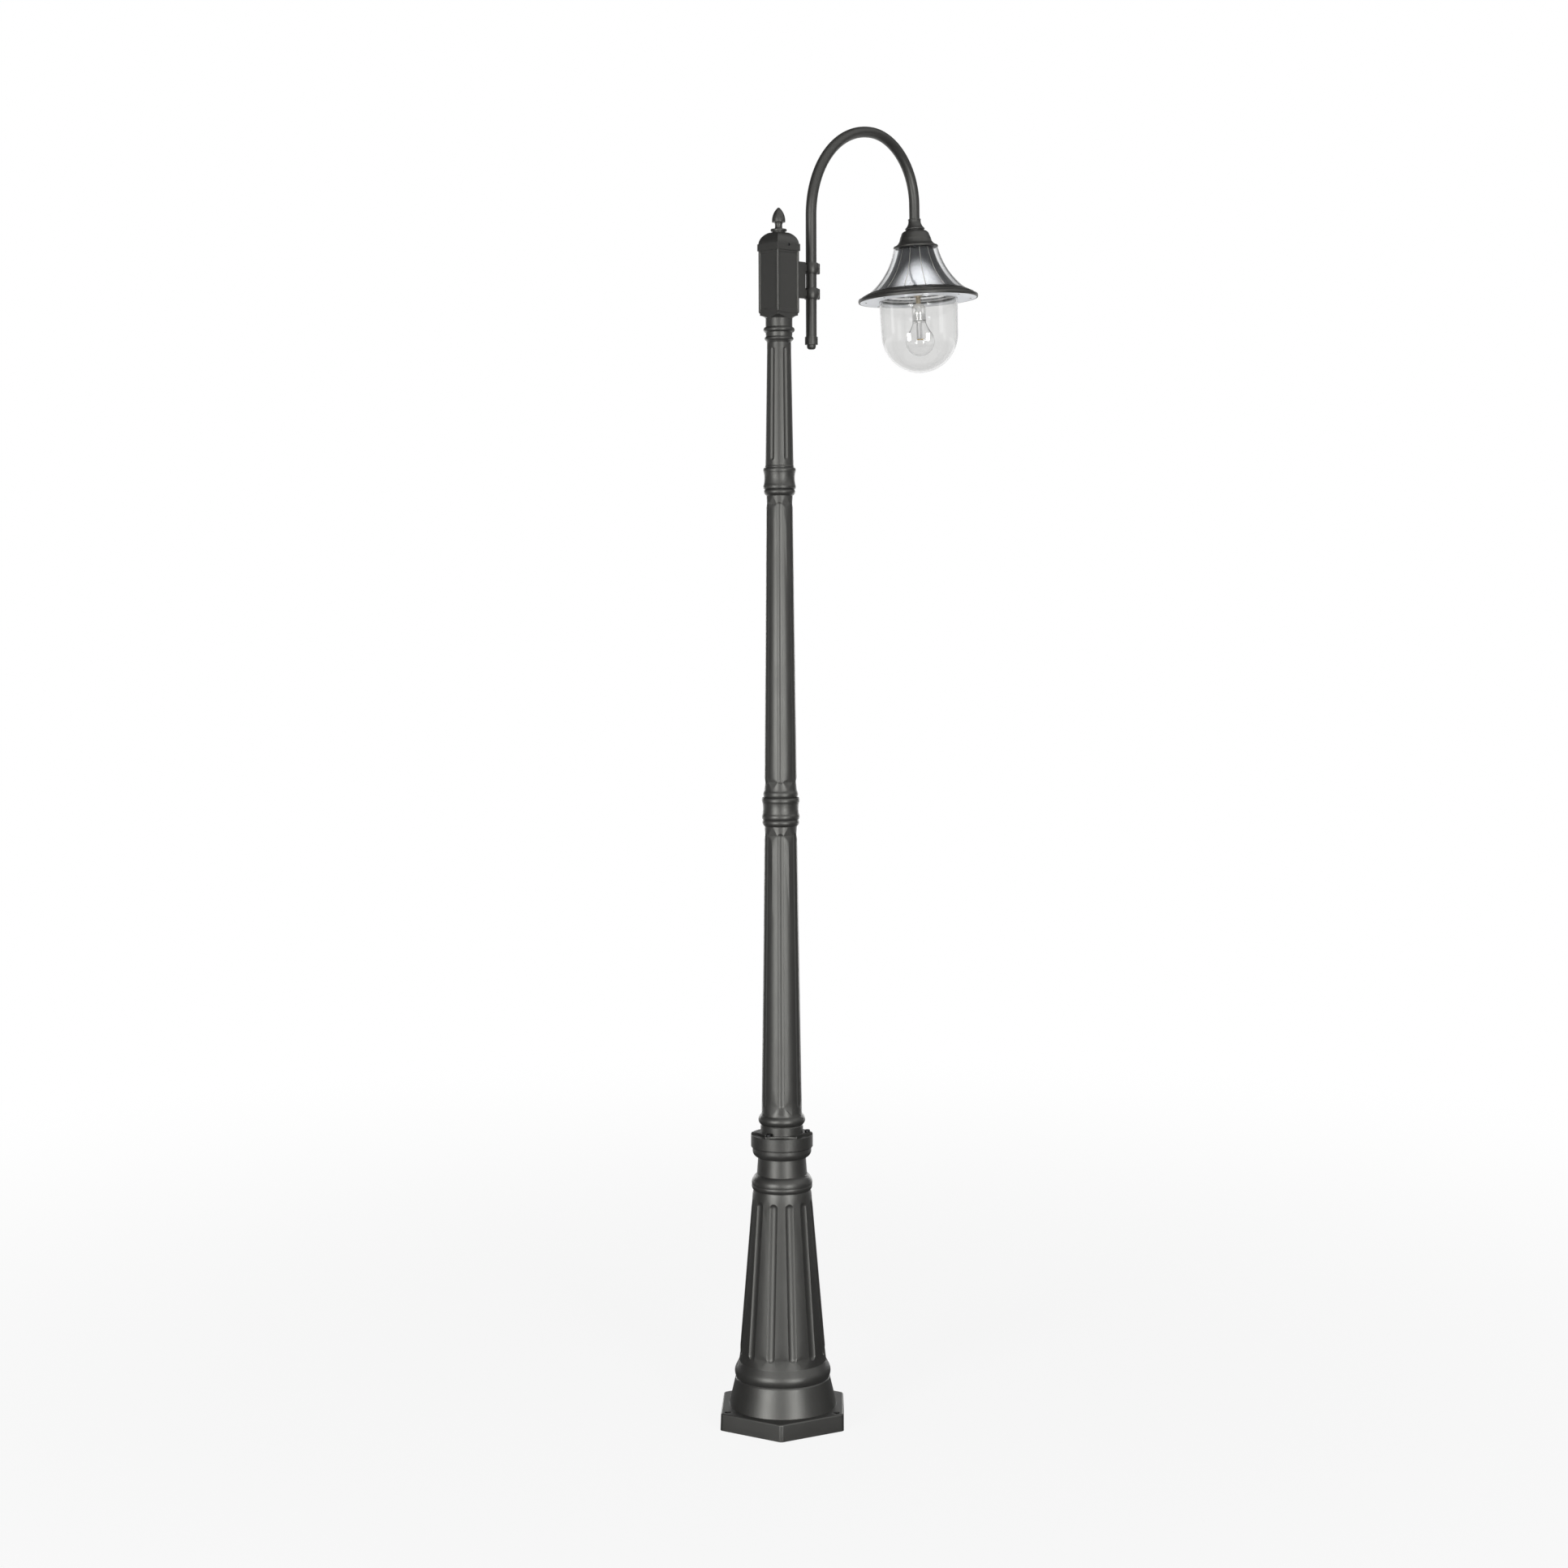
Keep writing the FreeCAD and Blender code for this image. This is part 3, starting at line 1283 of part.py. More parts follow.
def rim_ring(place, ledge):
    """Stepped ring with a shelf for the bell's two layers and the screwed plate let into its underside."""
    s = size
    body = lamp_body("rim_ring", place)
    step = ledge - s.rim_step_drop
    shoulder = step - s.rim_step_height - s.rim_slope_drop
    bottom = shoulder - s.rim_edge_height
    plate_top = bottom + s.plate_thickness
    recess = s.rim_radius - s.rim_lip_width
    turn(body, [
        (s.rim_ledge_inner_radius, plate_top),
        (recess, plate_top),
        (recess, bottom),
        (s.rim_radius, bottom, s.rim_edge_bulge),
        (s.rim_radius, shoulder),
        (s.rim_step_radius, step - s.rim_step_height),
        (s.rim_step_radius, step),
        (s.rim_ledge_outer_radius, ledge),
        (s.rim_shelf_radius, ledge),
        (s.rim_shelf_radius, ledge - s.rim_shelf_thickness),
        (s.rim_ledge_inner_radius, ledge - s.rim_shelf_thickness),
    ])
    plate = lamp_body("underside_plate", place)
    ring = sketch_on(plate, "XY_Plane", bottom)
    circle(ring, 0.0, 0.0, recess - s.fit_gap)
    circle(ring, 0.0, 0.0, s.glass_radius + s.fit_gap)
    pad(plate, ring, s.plate_thickness)
    for drilled in (body, plate):
        hole = sketch_on(drilled, "XY_Plane", bottom)
        circle(hole, s.plate_screw_circle / 2, 0.0, s.plate_screw_radius + s.fit_gap)
        cut = pocket(drilled, hole, s.plate_thickness + s.plate_screw_length, away=True)
        around(drilled, [cut], s.plate_screw_count)
    single = screw("plate_screw", s.plate_head_radius, s.plate_head_height, s.plate_screw_radius,
                   s.plate_thickness + s.plate_screw_length - s.fit_gap)
    flip = FreeCAD.Placement(FreeCAD.Vector(), FreeCAD.Rotation(FreeCAD.Vector(1, 0, 0), 180))
    places = [spot * flip for spot in ring_places(s.plate_screw_count, s.plate_screw_circle / 2, bottom)]
    group("plate_screws", single, places).Placement = place
    return bottom, plate_top


def glass_and_reflector(place, plate_top):
    """Glass jar hung by its lip, gasket, reflector and the tray above it. Returns the two clamped faces."""
    s = size
    jar = lamp_body("glass_dome", place)
    round_radius = s.glass_radius - s.glass_taper
    inner_radius = round_radius - s.glass_wall
    middle = plate_top - s.glass_straight
    lip_top = plate_top + s.glass_lip_height
    throat = s.glass_radius - s.glass_wall
    turn(jar, [
        (0, middle - round_radius, round_radius * QUARTER_RISE),
        (round_radius, middle),
        (s.glass_radius, plate_top),
        (s.glass_lip_radius, plate_top),
        (s.glass_lip_radius, lip_top),
        (throat, lip_top),
        (inner_radius, middle, inner_radius * -QUARTER_RISE),
        (0, middle - inner_radius),
    ])
    gasket = lamp_body("glass_gasket", place)
    gasket_top = lip_top + s.gasket_height
    turn(gasket, [
        (throat, lip_top),
        (s.glass_lip_radius, lip_top),
        (s.glass_lip_radius, gasket_top),
        (throat, gasket_top),
    ])
    tie_hole = s.tie_radius + s.fit_gap
    reflector = lamp_body("reflector", place)
    dish = gasket_top + s.reflector_dish_climb
    dish_top = dish + s.reflector_wall
    turn(reflector, [
        (tie_hole, dish),
        (s.reflector_dish_radius, dish),
        (throat, gasket_top),
        (s.glass_lip_radius, gasket_top),
        (s.glass_lip_radius, gasket_top + s.reflector_wall),
        (throat, gasket_top + s.reflector_wall),
        (s.reflector_dish_radius, dish_top),
        (tie_hole, dish_top),
    ])
    tray = lamp_body("gear_tray", place)
    tray_top = dish_top + s.tray_thickness
    disc = sketch_on(tray, "XY_Plane", dish_top)
    circle(disc, 0.0, 0.0, s.reflector_dish_radius)
    circle(disc, 0.0, 0.0, tie_hole)
    pad(tray, disc, s.tray_thickness)
    return dish, tray_top


def tie_tube(place, top, bottom, low_face, high_face):
    """Threaded brass tube down the lamp's axis, with nuts that clamp the reflector and tray."""
    s = size
    body = lamp_body("tie_tube", place)
    turn(body, [
        (s.tie_bore_radius, bottom),
        (s.tie_radius, bottom),
        (s.tie_radius, top),
        (s.tie_bore_radius, top),
    ])
    nut = new_body("tie_nut")
    blank = sketch_on(nut, "XY_Plane")
    outline(blank, hexagon(s.tie_nut_width / math.sqrt(3), 0))
    circle(blank, 0.0, 0.0, s.tie_radius + s.fit_gap)
    pad(nut, blank, s.tie_nut_height)
    places = [
        FreeCAD.Placement(FreeCAD.Vector(0, 0, level), FreeCAD.Rotation())
        for level in (low_face - s.tie_nut_height, high_face)
    ]
    group("tie_nuts", nut, places).Placement = place


def gear(place, floor):
    """Battery pack and charge board that stand on the tray inside the bell."""
    s = size
    pack = lamp_body("battery_pack", place)
    cells = sketch_on(pack, "XY_Plane", floor)
    rise = s.cell_radius * QUARTER_RISE
    left = s.cell_offset - s.cell_radius
    right = s.cell_offset + s.cell_radius
    outline(cells, [
        (right, -s.cell_radius),
        (right, s.cell_radius, rise),
        (s.cell_offset, s.cell_radius * 2, rise),
        (left, s.cell_radius),
        (left, -s.cell_radius, rise),
        (s.cell_offset, s.cell_radius * -2, rise),
    ])
    pad(pack, cells, s.cell_height)
    board = lamp_body("charge_board", place)
    card = sketch_on(board, "XY_Plane", floor)
    box_outline(card, 0 - s.board_offset - s.board_thickness, s.board_width / -2, -s.board_offset,
                s.board_width / 2)
    pad(board, card, s.board_height)
    chip = sketch_on(board, "XY_Plane", floor + s.board_height / 2)
    box_outline(chip, -s.board_offset, s.chip_width / -2, s.chip_thickness - s.board_offset, s.chip_width / 2)
    pad(board, chip, s.chip_width)


def lampholder(place, top):
    """Ceramic holder with a bare metal screw shell. Returns the shell's lower edge."""
    s = size
    tie_hole = s.tie_radius + s.fit_gap
    dome = lamp_body("lampholder_dome", place)
    foot = top - s.holder_dome_height
    turn(dome, [
        (0, foot),
        (s.holder_dome_radius, foot, s.holder_dome_rise),
        (tie_hole + s.shell_wall * 2, top),
        (tie_hole, top),
        (tie_hole, top - s.holder_thread_depth),
        (0, top - s.holder_thread_depth),
    ])
    shell = lamp_body("lampholder_shell", place)
    inner = s.cap_radius + s.fit_gap
    bottom = foot - s.shell_height
    turn(shell, [
        (inner, bottom),
        (inner + s.shell_wall, bottom),
        (inner + s.shell_wall, foot),
        (0, foot),
        (0, foot - s.shell_wall),
        (inner, foot - s.shell_wall),
    ])
    cap = lamp_body("bulb_cap", place)
    cap_top = foot - s.shell_wall - s.cap_top_gap
    turn(cap, [
        (0, bottom),
        (s.cap_radius, bottom),
        (s.cap_radius, cap_top),
        (s.cap_nib_radius, cap_top),
        (s.cap_nib_radius, foot - s.shell_wall),
        (0, foot - s.shell_wall),
    ])
    return bottom


def bulb(place, top):
    """Clear pear bulb with a three-bar stem that carries its light chips."""
    s = size
    glass = lamp_body("bulb_glass", place)
    middle = top - s.bulb_shoulder_height
    waist = middle + s.bulb_waist_height
    inner = s.bulb_radius - s.bulb_wall
    turn(glass, [
        (0, middle - s.bulb_radius, s.bulb_radius * QUARTER_RISE),
        (s.bulb_radius, middle, s.bulb_shoulder_rise),
        (s.bulb_waist_radius, waist, -s.bulb_waist_hollow),
        (s.cap_radius, top),
        (s.cap_radius - s.bulb_wall, top, s.bulb_waist_hollow),
        (s.bulb_waist_radius - s.bulb_wall, waist, -s.bulb_shoulder_rise),
        (inner, middle, inner * -QUARTER_RISE),
        (0, middle - inner),
    ])
    stem = lamp_body("bulb_stem", place)
    end = top - s.stem_height
    foot_disc = sketch_on(stem, "XY_Plane", top - s.stem_disc_height)
    circle(foot_disc, 0.0, 0.0, s.stem_radius)
    pad(stem, foot_disc, s.stem_disc_height)
    bars = sketch_on(stem, "XY_Plane", end)
    reach = s.stem_radius - s.stem_bar_radius - s.stem_bar_inset
    for step in range(3):
        angle = math.radians(THIRD * step)
        circle(bars, reach * math.cos(angle), reach * math.sin(angle), s.stem_bar_radius)
    pad(stem, bars, s.stem_height - s.stem_disc_height)
    chip_disc = sketch_on(stem, "XY_Plane", end)
    circle(chip_disc, 0.0, 0.0, s.stem_radius)
    pad(stem, chip_disc, s.stem_disc_height)
    chip = new_body("led_chip")
    square = sketch_on(chip, "XY_Plane")
    box_outline(square, s.led_width / -2, s.led_width / -2, s.led_width / 2, s.led_width / 2)
    pad(chip, square, s.led_thickness)
    places = ring_places(s.led_count, s.led_circle / 2, end - s.led_thickness)
    group("bulb_led_chips", chip, places).Placement = place


mid_sleeve_height = size.mid_sleeve_bead_climb * 2 + size.mid_sleeve_waist_climb
upper_sleeve_height = size.upper_sleeve_bead_climb * 2 + size.upper_sleeve_waist_climb

# The post, from the ground up
base_top = base_casting()
lower_top = lower_shaft(base_top)
sleeve("mid_sleeve", lower_top, size.mid_sleeve_radius, size.mid_sleeve_bead_climb, size.mid_sleeve_bead_rise,
       size.mid_sleeve_waist_climb, size.mid_sleeve_waist_hollow, size.mid_spigot_radius + size.fit_gap)
upper_top = upper_shaft(lower_top + mid_sleeve_height)
sleeve("upper_sleeve", upper_top, size.upper_sleeve_radius, size.upper_sleeve_bead_climb,
       size.upper_sleeve_bead_rise, size.upper_sleeve_waist_climb, size.upper_sleeve_waist_hollow,
       size.neck_spigot_radius + size.fit_gap)
neck_top = neck_section(upper_top + upper_sleeve_height)

# The head and what it carries
head_casing(neck_top)
cap_top = casing_cap(neck_top + size.casing_height - size.cap_lap)
finial(cap_top)
bracket_centre = neck_top + size.bracket_centre_height
arm_bracket(bracket_centre)
lamp_place = arm_tube(bracket_centre - size.bracket_height / 2 - size.arm_tail_drop)

# The lamp, from its coupler down
crown_top = lamp_coupler(lamp_place)
bell_top = lamp_crown(lamp_place, crown_top)
bell_foot = bell(lamp_place, bell_top)
rim_bottom, plate_face = rim_ring(lamp_place, bell_foot)
reflector_face, tray_face = glass_and_reflector(lamp_place, plate_face)
gear(lamp_place, tray_face)
holder_top = rim_bottom - size.holder_drop
tie_top = -size.arm_socket_depth - size.coupler_gap
tie_tube(lamp_place, tie_top, holder_top - size.holder_thread_depth, reflector_face, tray_face)
shell_foot = lampholder(lamp_place, holder_top)
bulb(lamp_place, shell_foot)

doc.recompute()
for piece in doc.Objects:
    if "Invalid" in piece.State or "Error" in piece.State:
        raise RuntimeError(f"{piece.Label} did not build: {piece.State}")
for piece in pieces:
    if piece.Shape.isNull() or not piece.Shape.isValid():
        raise RuntimeError(f"{piece.Label} has no valid shape")
for piece in pieces:
    piece.Shape.exportStep(f"parts/{piece.Label}.step")
    print(f"{piece.Label}: {len(piece.Shape.Solids)} solids, {piece.Shape.Volume / 1000:.2f} cm3")
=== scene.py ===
"""Looks of the cast garden lamp post: finishes, small fasteners, the lamp's thread, light and camera."""
import math

import bmesh
import bpy
from mathutils import Matrix, Vector


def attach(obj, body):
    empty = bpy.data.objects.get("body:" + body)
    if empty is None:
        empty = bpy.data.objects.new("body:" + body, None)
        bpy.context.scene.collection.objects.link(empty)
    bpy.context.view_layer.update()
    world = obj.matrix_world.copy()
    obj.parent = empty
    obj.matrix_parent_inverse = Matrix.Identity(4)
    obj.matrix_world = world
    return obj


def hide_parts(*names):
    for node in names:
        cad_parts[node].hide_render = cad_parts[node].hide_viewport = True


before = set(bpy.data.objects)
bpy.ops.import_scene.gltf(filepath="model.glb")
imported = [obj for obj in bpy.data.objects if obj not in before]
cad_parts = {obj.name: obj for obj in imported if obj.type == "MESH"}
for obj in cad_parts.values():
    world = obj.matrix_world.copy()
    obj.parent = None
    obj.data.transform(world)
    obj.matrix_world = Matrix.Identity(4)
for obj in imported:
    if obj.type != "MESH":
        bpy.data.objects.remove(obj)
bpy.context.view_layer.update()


# Base casting
# Hollow fluted cone on a hexagonal foot, one aluminium sand casting bolted down through three corners.
# It is powder coated in fine-grained anthracite, as all the castings above it are, with a painted highlight
# lightening the coat along sharp edges.
MM = 0.001
MERGE_DISTANCE = 0.001 * MM


class Wire:
    """One output socket of a finish. Sums and products of wires add Math nodes to the same finish."""

    def __init__(self, socket):
        self.socket = socket

    def node(self, kind, settings, sockets, output=0):
        """Adds a node with these settings, then these socket values or wires. Gives one of its outputs."""
        tree = self.socket.id_data
        made = tree.nodes.new(kind)
        for name, value in settings.items():
            if name == "stops":
                ramp = made.color_ramp.elements
                while len(ramp) < len(value):
                    ramp.new(1.0)
                for stop, (position, colour) in zip(ramp, value):
                    stop.position = position
                    stop.color = (*colour, 1.0)
            else:
                setattr(made, name, value)
        for name, value in sockets.items():
            if isinstance(value, Wire):
                tree.links.new(value.socket, made.inputs[name])
            else:
                made.inputs[name].default_value = value
        return Wire(made.outputs[output])

    def math(self, operation, first, second):
        return self.node("ShaderNodeMath", {"operation": operation}, {0: first, 1: second})

    def __add__(self, other):
        return self.math("ADD", self, other)

    def __sub__(self, other):
        return self.math("SUBTRACT", self, other)

    def __rsub__(self, other):
        return self.math("SUBTRACT", other, self)

    def __mul__(self, other):
        return self.math("MULTIPLY", self, other)

    __radd__ = __add__
    __rmul__ = __mul__

    def noise(self, scale, detail=2.0):
        """Cloudy value from 0 to 1 over the place that this wire gives, with so many clouds to a metre."""
        return self.node("ShaderNodeTexNoise", {}, {"Vector": self, "Scale": scale, "Detail": detail})

    def tint(self, *stops):
        """Colours along a ramp, picked by this value."""
        return self.node("ShaderNodeValToRGB", {"stops": stops}, {"Fac": self})

    def along(self, direction):
        """How far the place or way that this wire gives reaches in a direction."""
        return self.node(
            "ShaderNodeVectorMath", {"operation": "DOT_PRODUCT"}, {0: self, 1: direction}, "Value"
        )

    def ramped(self, start, end, first, last):
        """Eases from the first to the last value while this one goes from start to end."""
        return self.node(
            "ShaderNodeMapRange",
            {"interpolation_type": "SMOOTHSTEP"},
            {"Value": self, "From Min": start, "From Max": end, "To Min": first, "To Max": last},
        )

    def ray(self, kind):
        """One for light rays of this kind and zero for the others."""
        return self.node("ShaderNodeLightPath", {}, {}, f"Is {kind} Ray")

    def bump(self, depth, strength=1.0, under=None):
        """Surface tilt from this value as a height, with the depth in metres, laid over another tilt."""
        sockets = {"Strength": strength, "Distance": depth, "Height": self}
        if under:
            sockets["Normal"] = under
        return self.node("ShaderNodeBump", {}, sockets)

    def into(self, shader, name):
        self.socket.id_data.links.new(self.socket, shader.inputs[name])


def finish(name, **even):
    """A new finish with its even values set. Gives the material, its shader and the place on the piece."""
    material = bpy.data.materials.new(name)
    material.use_nodes = True
    tree = material.node_tree
    shader = tree.nodes["Principled BSDF"]
    for key, value in even.items():
        shader.inputs[key.replace("_", " ")].default_value = value
    place = Wire(tree.nodes.new("ShaderNodeTexCoord").outputs["Object"])
    return material, shader, place


def dress(material, *nodes):
    """Gives carried-over pieces this finish."""
    for node in nodes:
        for material_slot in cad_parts[node].material_slots:
            material_slot.material = material


COAT_DARK = (0.017, 0.0167, 0.0160)
COAT_LIGHT = (0.025, 0.0246, 0.0237)
COAT_EDGE_HIGHLIGHT = (0.075, 0.074, 0.071)
COAT_GRAINS = 1700.0
COAT_GRAIN_SHARE = 0.6
COAT_GRAIN_DEPTH = 0.09 * MM
COAT_CLOUDS = 22.0
COAT_CLOUD_SHARE = 0.4
COAT_EDGE_HIGHLIGHT_REACH = 1.2 * MM
COAT_EDGE_HIGHLIGHT_SHARE = 0.7
COAT_EDGE_RADIUS = 0.9 * MM
COAT_SMOOTHEST = 0.34
COAT_ROUGHNESS_SPREAD = 0.10
COAT_SAMPLES = 4
coat, coat_shader, coat_place = finish(
    "anthracite_powder_coat", Metallic=0.0, IOR=1.8, Specular_Tint=(1.0, 1.0, 0.95, 1.0)
)
coat_grain = coat_place.noise(COAT_GRAINS, 3.0)
coat_cloud = coat_place.noise(COAT_CLOUDS, 4.0)
# Painted highlight: the coat is lighter within a short reach of sharp edges, found by ambient occlusion
# looking inside the piece, standing in for light caught on the edges.
coat_away_from_edges = coat_place.node(
    "ShaderNodeAmbientOcclusion",
    {"samples": COAT_SAMPLES, "inside": True, "only_local": True},
    {"Distance": COAT_EDGE_HIGHLIGHT_REACH},
    "AO",
)
# Painted highlight strength: one less the inside occlusion, so highest right at sharp edges.
coat_edge_highlight = 1 - coat_away_from_edges
(coat_grain * COAT_GRAIN_SHARE + coat_cloud * COAT_CLOUD_SHARE + coat_edge_highlight * COAT_EDGE_HIGHLIGHT_SHARE).tint(
    (0.30, COAT_DARK),
    (0.70, COAT_LIGHT),
    (1.00, COAT_EDGE_HIGHLIGHT),
).into(coat_shader, "Base Color")
((coat_cloud + coat_grain) * COAT_ROUGHNESS_SPREAD + COAT_SMOOTHEST).into(coat_shader, "Roughness")
coat_edge = coat_place.node("ShaderNodeBevel", {"samples": COAT_SAMPLES}, {"Radius": COAT_EDGE_RADIUS})
coat_grain.bump(COAT_GRAIN_DEPTH, 1.0, coat_edge).into(coat_shader, "Normal")


def finished_piece(name, mesh, material, slot, *stands_for):
    """Makes a piece from a mesh, riding on the post and standing for these carried-over pieces."""
    bmesh.ops.remove_doubles(mesh, verts=mesh.verts, dist=MERGE_DISTANCE)
    bmesh.ops.recalc_face_normals(mesh, faces=mesh.faces)
    data = bpy.data.meshes.new(name)
    mesh.to_mesh(data)
    mesh.free()
    old_normals = data.attributes.get("custom_normal")
    if old_normals:
        data.attributes.remove(old_normals)
    data.materials.append(material)
    piece = bpy.data.objects.new(name, data)
    bpy.context.scene.collection.objects.link(piece)
    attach(piece, "root")
    if stands_for:
        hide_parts(*stands_for)
    return piece


FLUTE_RIM = math.radians(14)


def fluted_casting(name, node):
    """A coated casting from a carried-over one, joined up and shaded smooth, its flutes' rims crisp."""
    mesh = bmesh.new()
    mesh.from_mesh(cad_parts[node].data)
    data = finished_piece(name, mesh, coat, "anthracite_coat", node).data
    data.shade_smooth()
    data.set_sharp_from_angle(angle=FLUTE_RIM)


fluted_casting("fluted_base", "base_casting")


# Flange screws
# Three black steel cap screws hold the lower shaft's star plate down on the base.
# Each has a hexagon socket sunk into a plain turned head.
def speckled(name, grains, dark, light, smoothest=None, spread=None, relief=None, detail=2.0,
             band=(0.3, 0.7), **even):
    """A finish with one noise over it, which shifts its colour and, where given, roughness and height."""
    material, shader, place = finish(name, **even)
    grain = place.noise(grains, detail)
    grain.tint((band[0], dark), (band[1], light)).into(shader, "Base Color")
    if spread:
        (grain * spread + smoothest).into(shader, "Roughness")
    if relief:
        depth, strength = relief
        grain.bump(depth * MM, strength).into(shader, "Normal")
    return material


black_steel = speckled(
    "blackened_steel", grains=2600.0, dark=(0.020, 0.020, 0.021), light=(0.042, 0.042, 0.044),
    smoothest=0.28, spread=0.15, band=(0.35, 0.65), Metallic=0.85, IOR=2.0,
)

SCREW_SIDES = 32
SOCKET_SIDES = 6
SOCKET_SHARE = 0.52
SOCKET_DEPTH_SHARE = 0.62


def about(axis, degrees):
    return Matrix.Rotation(math.radians(degrees), 4, axis)


def loop_edges(ring):
    """Edges round a ring of vertices that nothing else is joined to yet."""
    return list({edge for vertex in ring for edge in vertex.link_edges})


def socket_screw(mesh, place, head):
    """Adds a screw head with a hexagon socket. The head is rings of radius and level from its seat up."""
    top_level = head[-1][1]
    socket = max(radius for radius, level in head) * SOCKET_SHARE
    socket_floor = top_level * (1 - SOCKET_DEPTH_SHARE)
    rings = [(radius, level, SCREW_SIDES) for radius, level in head]
    rings += [(socket, top_level, SOCKET_SIDES), (socket, socket_floor, SOCKET_SIDES)]
    edges = []
    for radius, level, sides in rings:
        made = bmesh.ops.create_circle(
            mesh, segments=sides, radius=radius * MM, matrix=place @ Matrix.Translation((0, 0, level * MM))
        )
        edges.append(loop_edges(made["verts"]))
    for lower, upper in zip(edges, edges[1:]):
        bmesh.ops.bridge_loops(mesh, edges=lower + upper)
    bmesh.ops.contextual_create(mesh, geom=edges[0])
    bmesh.ops.contextual_create(mesh, geom=edges[-1])


FLANGE_SCREW_COUNT = 3
FLANGE_SCREW_CIRCLE = 98
FLANGE_SCREW_SEAT = 565.0
FLANGE_SCREW_TURN = 76.5
FLANGE_HEAD = [(4.6, 0), (5, 0.4), (5, 4.0), (4.5, 4.6), (3.6, 4.6)]
mesh = bmesh.new()
for step in range(FLANGE_SCREW_COUNT):
    turn = about("Z", FLANGE_SCREW_TURN + 360 / FLANGE_SCREW_COUNT * step)
    out = Matrix.Translation((FLANGE_SCREW_CIRCLE / 2 * MM, 0, FLANGE_SCREW_SEAT * MM))
    socket_screw(mesh, turn @ out, FLANGE_HEAD)
finished_piece("flange_cap_screws", mesh, black_steel, "blackened_steel", "flange_screws")


# Shafts, sleeves and neck
# Two tapered fluted shafts and a ringed neck, cast aluminium, slipped over each other's spigots.
# Waisted sleeves cover the joints, and all of them wear the same coat as the base.
fluted_casting("fluted_lower_shaft", "lower_shaft")
fluted_casting("fluted_upper_shaft", "upper_shaft")
fluted_casting("fluted_neck", "neck_section")
dress(coat, "mid_sleeve", "upper_sleeve")


# Head casing, cap and finial
# A square cast box with sunk panels and beaded corners, closed by a vaulted cap with an acorn on top.
# Two small button screws through opposite sides of the skirt hold the cap.
dress(coat, "head_casing", "casing_cap", "finial")


def facing_out(reach, across, level):
    """Place of a screw whose head points away from the axis, along X."""
    return Matrix.Translation((reach * MM, across * MM, level * MM)) @ about("Y", 90)


CAP_SCREW_SIDES = (90, 270)
CAP_SCREW_LEVEL = 2247.4
CAP_SCREW_REACH = 28.5
CAP_HEAD = [(2.7, 0), (2.65, 0.45), (2.35, 0.9), (1.9, 1.3)]
mesh = bmesh.new()
for side in CAP_SCREW_SIDES:
    socket_screw(mesh, about("Z", side) @ facing_out(CAP_SCREW_REACH, 0, CAP_SCREW_LEVEL), CAP_HEAD)
finished_piece("cap_button_screws", mesh, black_steel, "blackened_steel", "cap_screws")


# Arm bracket
# A cast web with two clamp rings, screwed to the casing by four button screws and coated with it.
# A grub screw in each ring's boss nips the arm tube.
dress(coat, "arm_bracket")

BRACKET_SCREW_REACH = 29.5
BRACKET_SCREW_ACROSS = 10
BRACKET_SCREW_LEVELS = (2161.6, 2215.6)
BRACKET_HEAD = [(3.6, 0), (3.55, 0.8), (3.2, 1.7), (2.5, 2.4)]
mesh = bmesh.new()
for level in BRACKET_SCREW_LEVELS:
    for across in (-BRACKET_SCREW_ACROSS, BRACKET_SCREW_ACROSS):
        socket_screw(mesh, facing_out(BRACKET_SCREW_REACH, across, level), BRACKET_HEAD)
finished_piece("bracket_button_screws", mesh, black_steel, "blackened_steel", "bracket_screws")

GRUB_SCREW_REACH = 93.4
GRUB_SCREW_LEVELS = (2164.85, 2212.35)
GRUB = [(3, 0), (3, 6.9), (2.6, 7.3)]
mesh = bmesh.new()
for level in GRUB_SCREW_LEVELS:
    socket_screw(mesh, facing_out(GRUB_SCREW_REACH, 0, level), GRUB)
finished_piece("clamp_grub_screws", mesh, black_steel, "blackened_steel", "clamp_screws")


# Arm
# A swan-neck of drawn aluminium tube, bent cold and coated, held in the bracket's rings.
# A turned plug closes its lower end.
dress(coat, "arm_tube", "arm_end_plug")


# Lamp head
# Cast coupler, bell-shaped crown and stepped rim, coated as the post, strung on one threaded tube.
# The coupler slips over the arm's tail with slack and a grub screw, so the lamp hangs slightly askew.
dress(coat, "lamp_coupler", "lamp_crown", "rim_ring")

ARM_TURN = 5
LAMP_LEAN = 1.6
LAMP_SWAY = 2.3
LAMP_PIVOT = (387.18, 26.63, 2328.77)
COUPLER_PIVOT_DEPTH = 7.5
lamp_place = (
    Matrix.Translation(Vector(LAMP_PIVOT) * MM)
    @ about("Z", ARM_TURN)
    @ about("Y", -LAMP_LEAN)
    @ about("X", -LAMP_SWAY)
    @ Matrix.Translation((0, 0, COUPLER_PIVOT_DEPTH * MM))
)

COUPLER_SCREW_REACH = 10.6
COUPLER_SCREW_LEVEL = -10
COUPLER_GRUB = [(2, 0), (2, 2.0), (1.8, 2.2)]
mesh = bmesh.new()
socket_screw(mesh, lamp_place @ facing_out(COUPLER_SCREW_REACH, 0, COUPLER_SCREW_LEVEL), COUPLER_GRUB)
finished_piece("coupler_grub_screw", mesh, black_steel, "blackened_steel", "coupler_screw")


# Shade
# A clear moulded cover stands off an inner bell of twelve glossy solar strips.
# The strips are film on a dark pressed carrier, and pale beads of sealant fill the seams between them.
CLEAR_IOR = 1.46


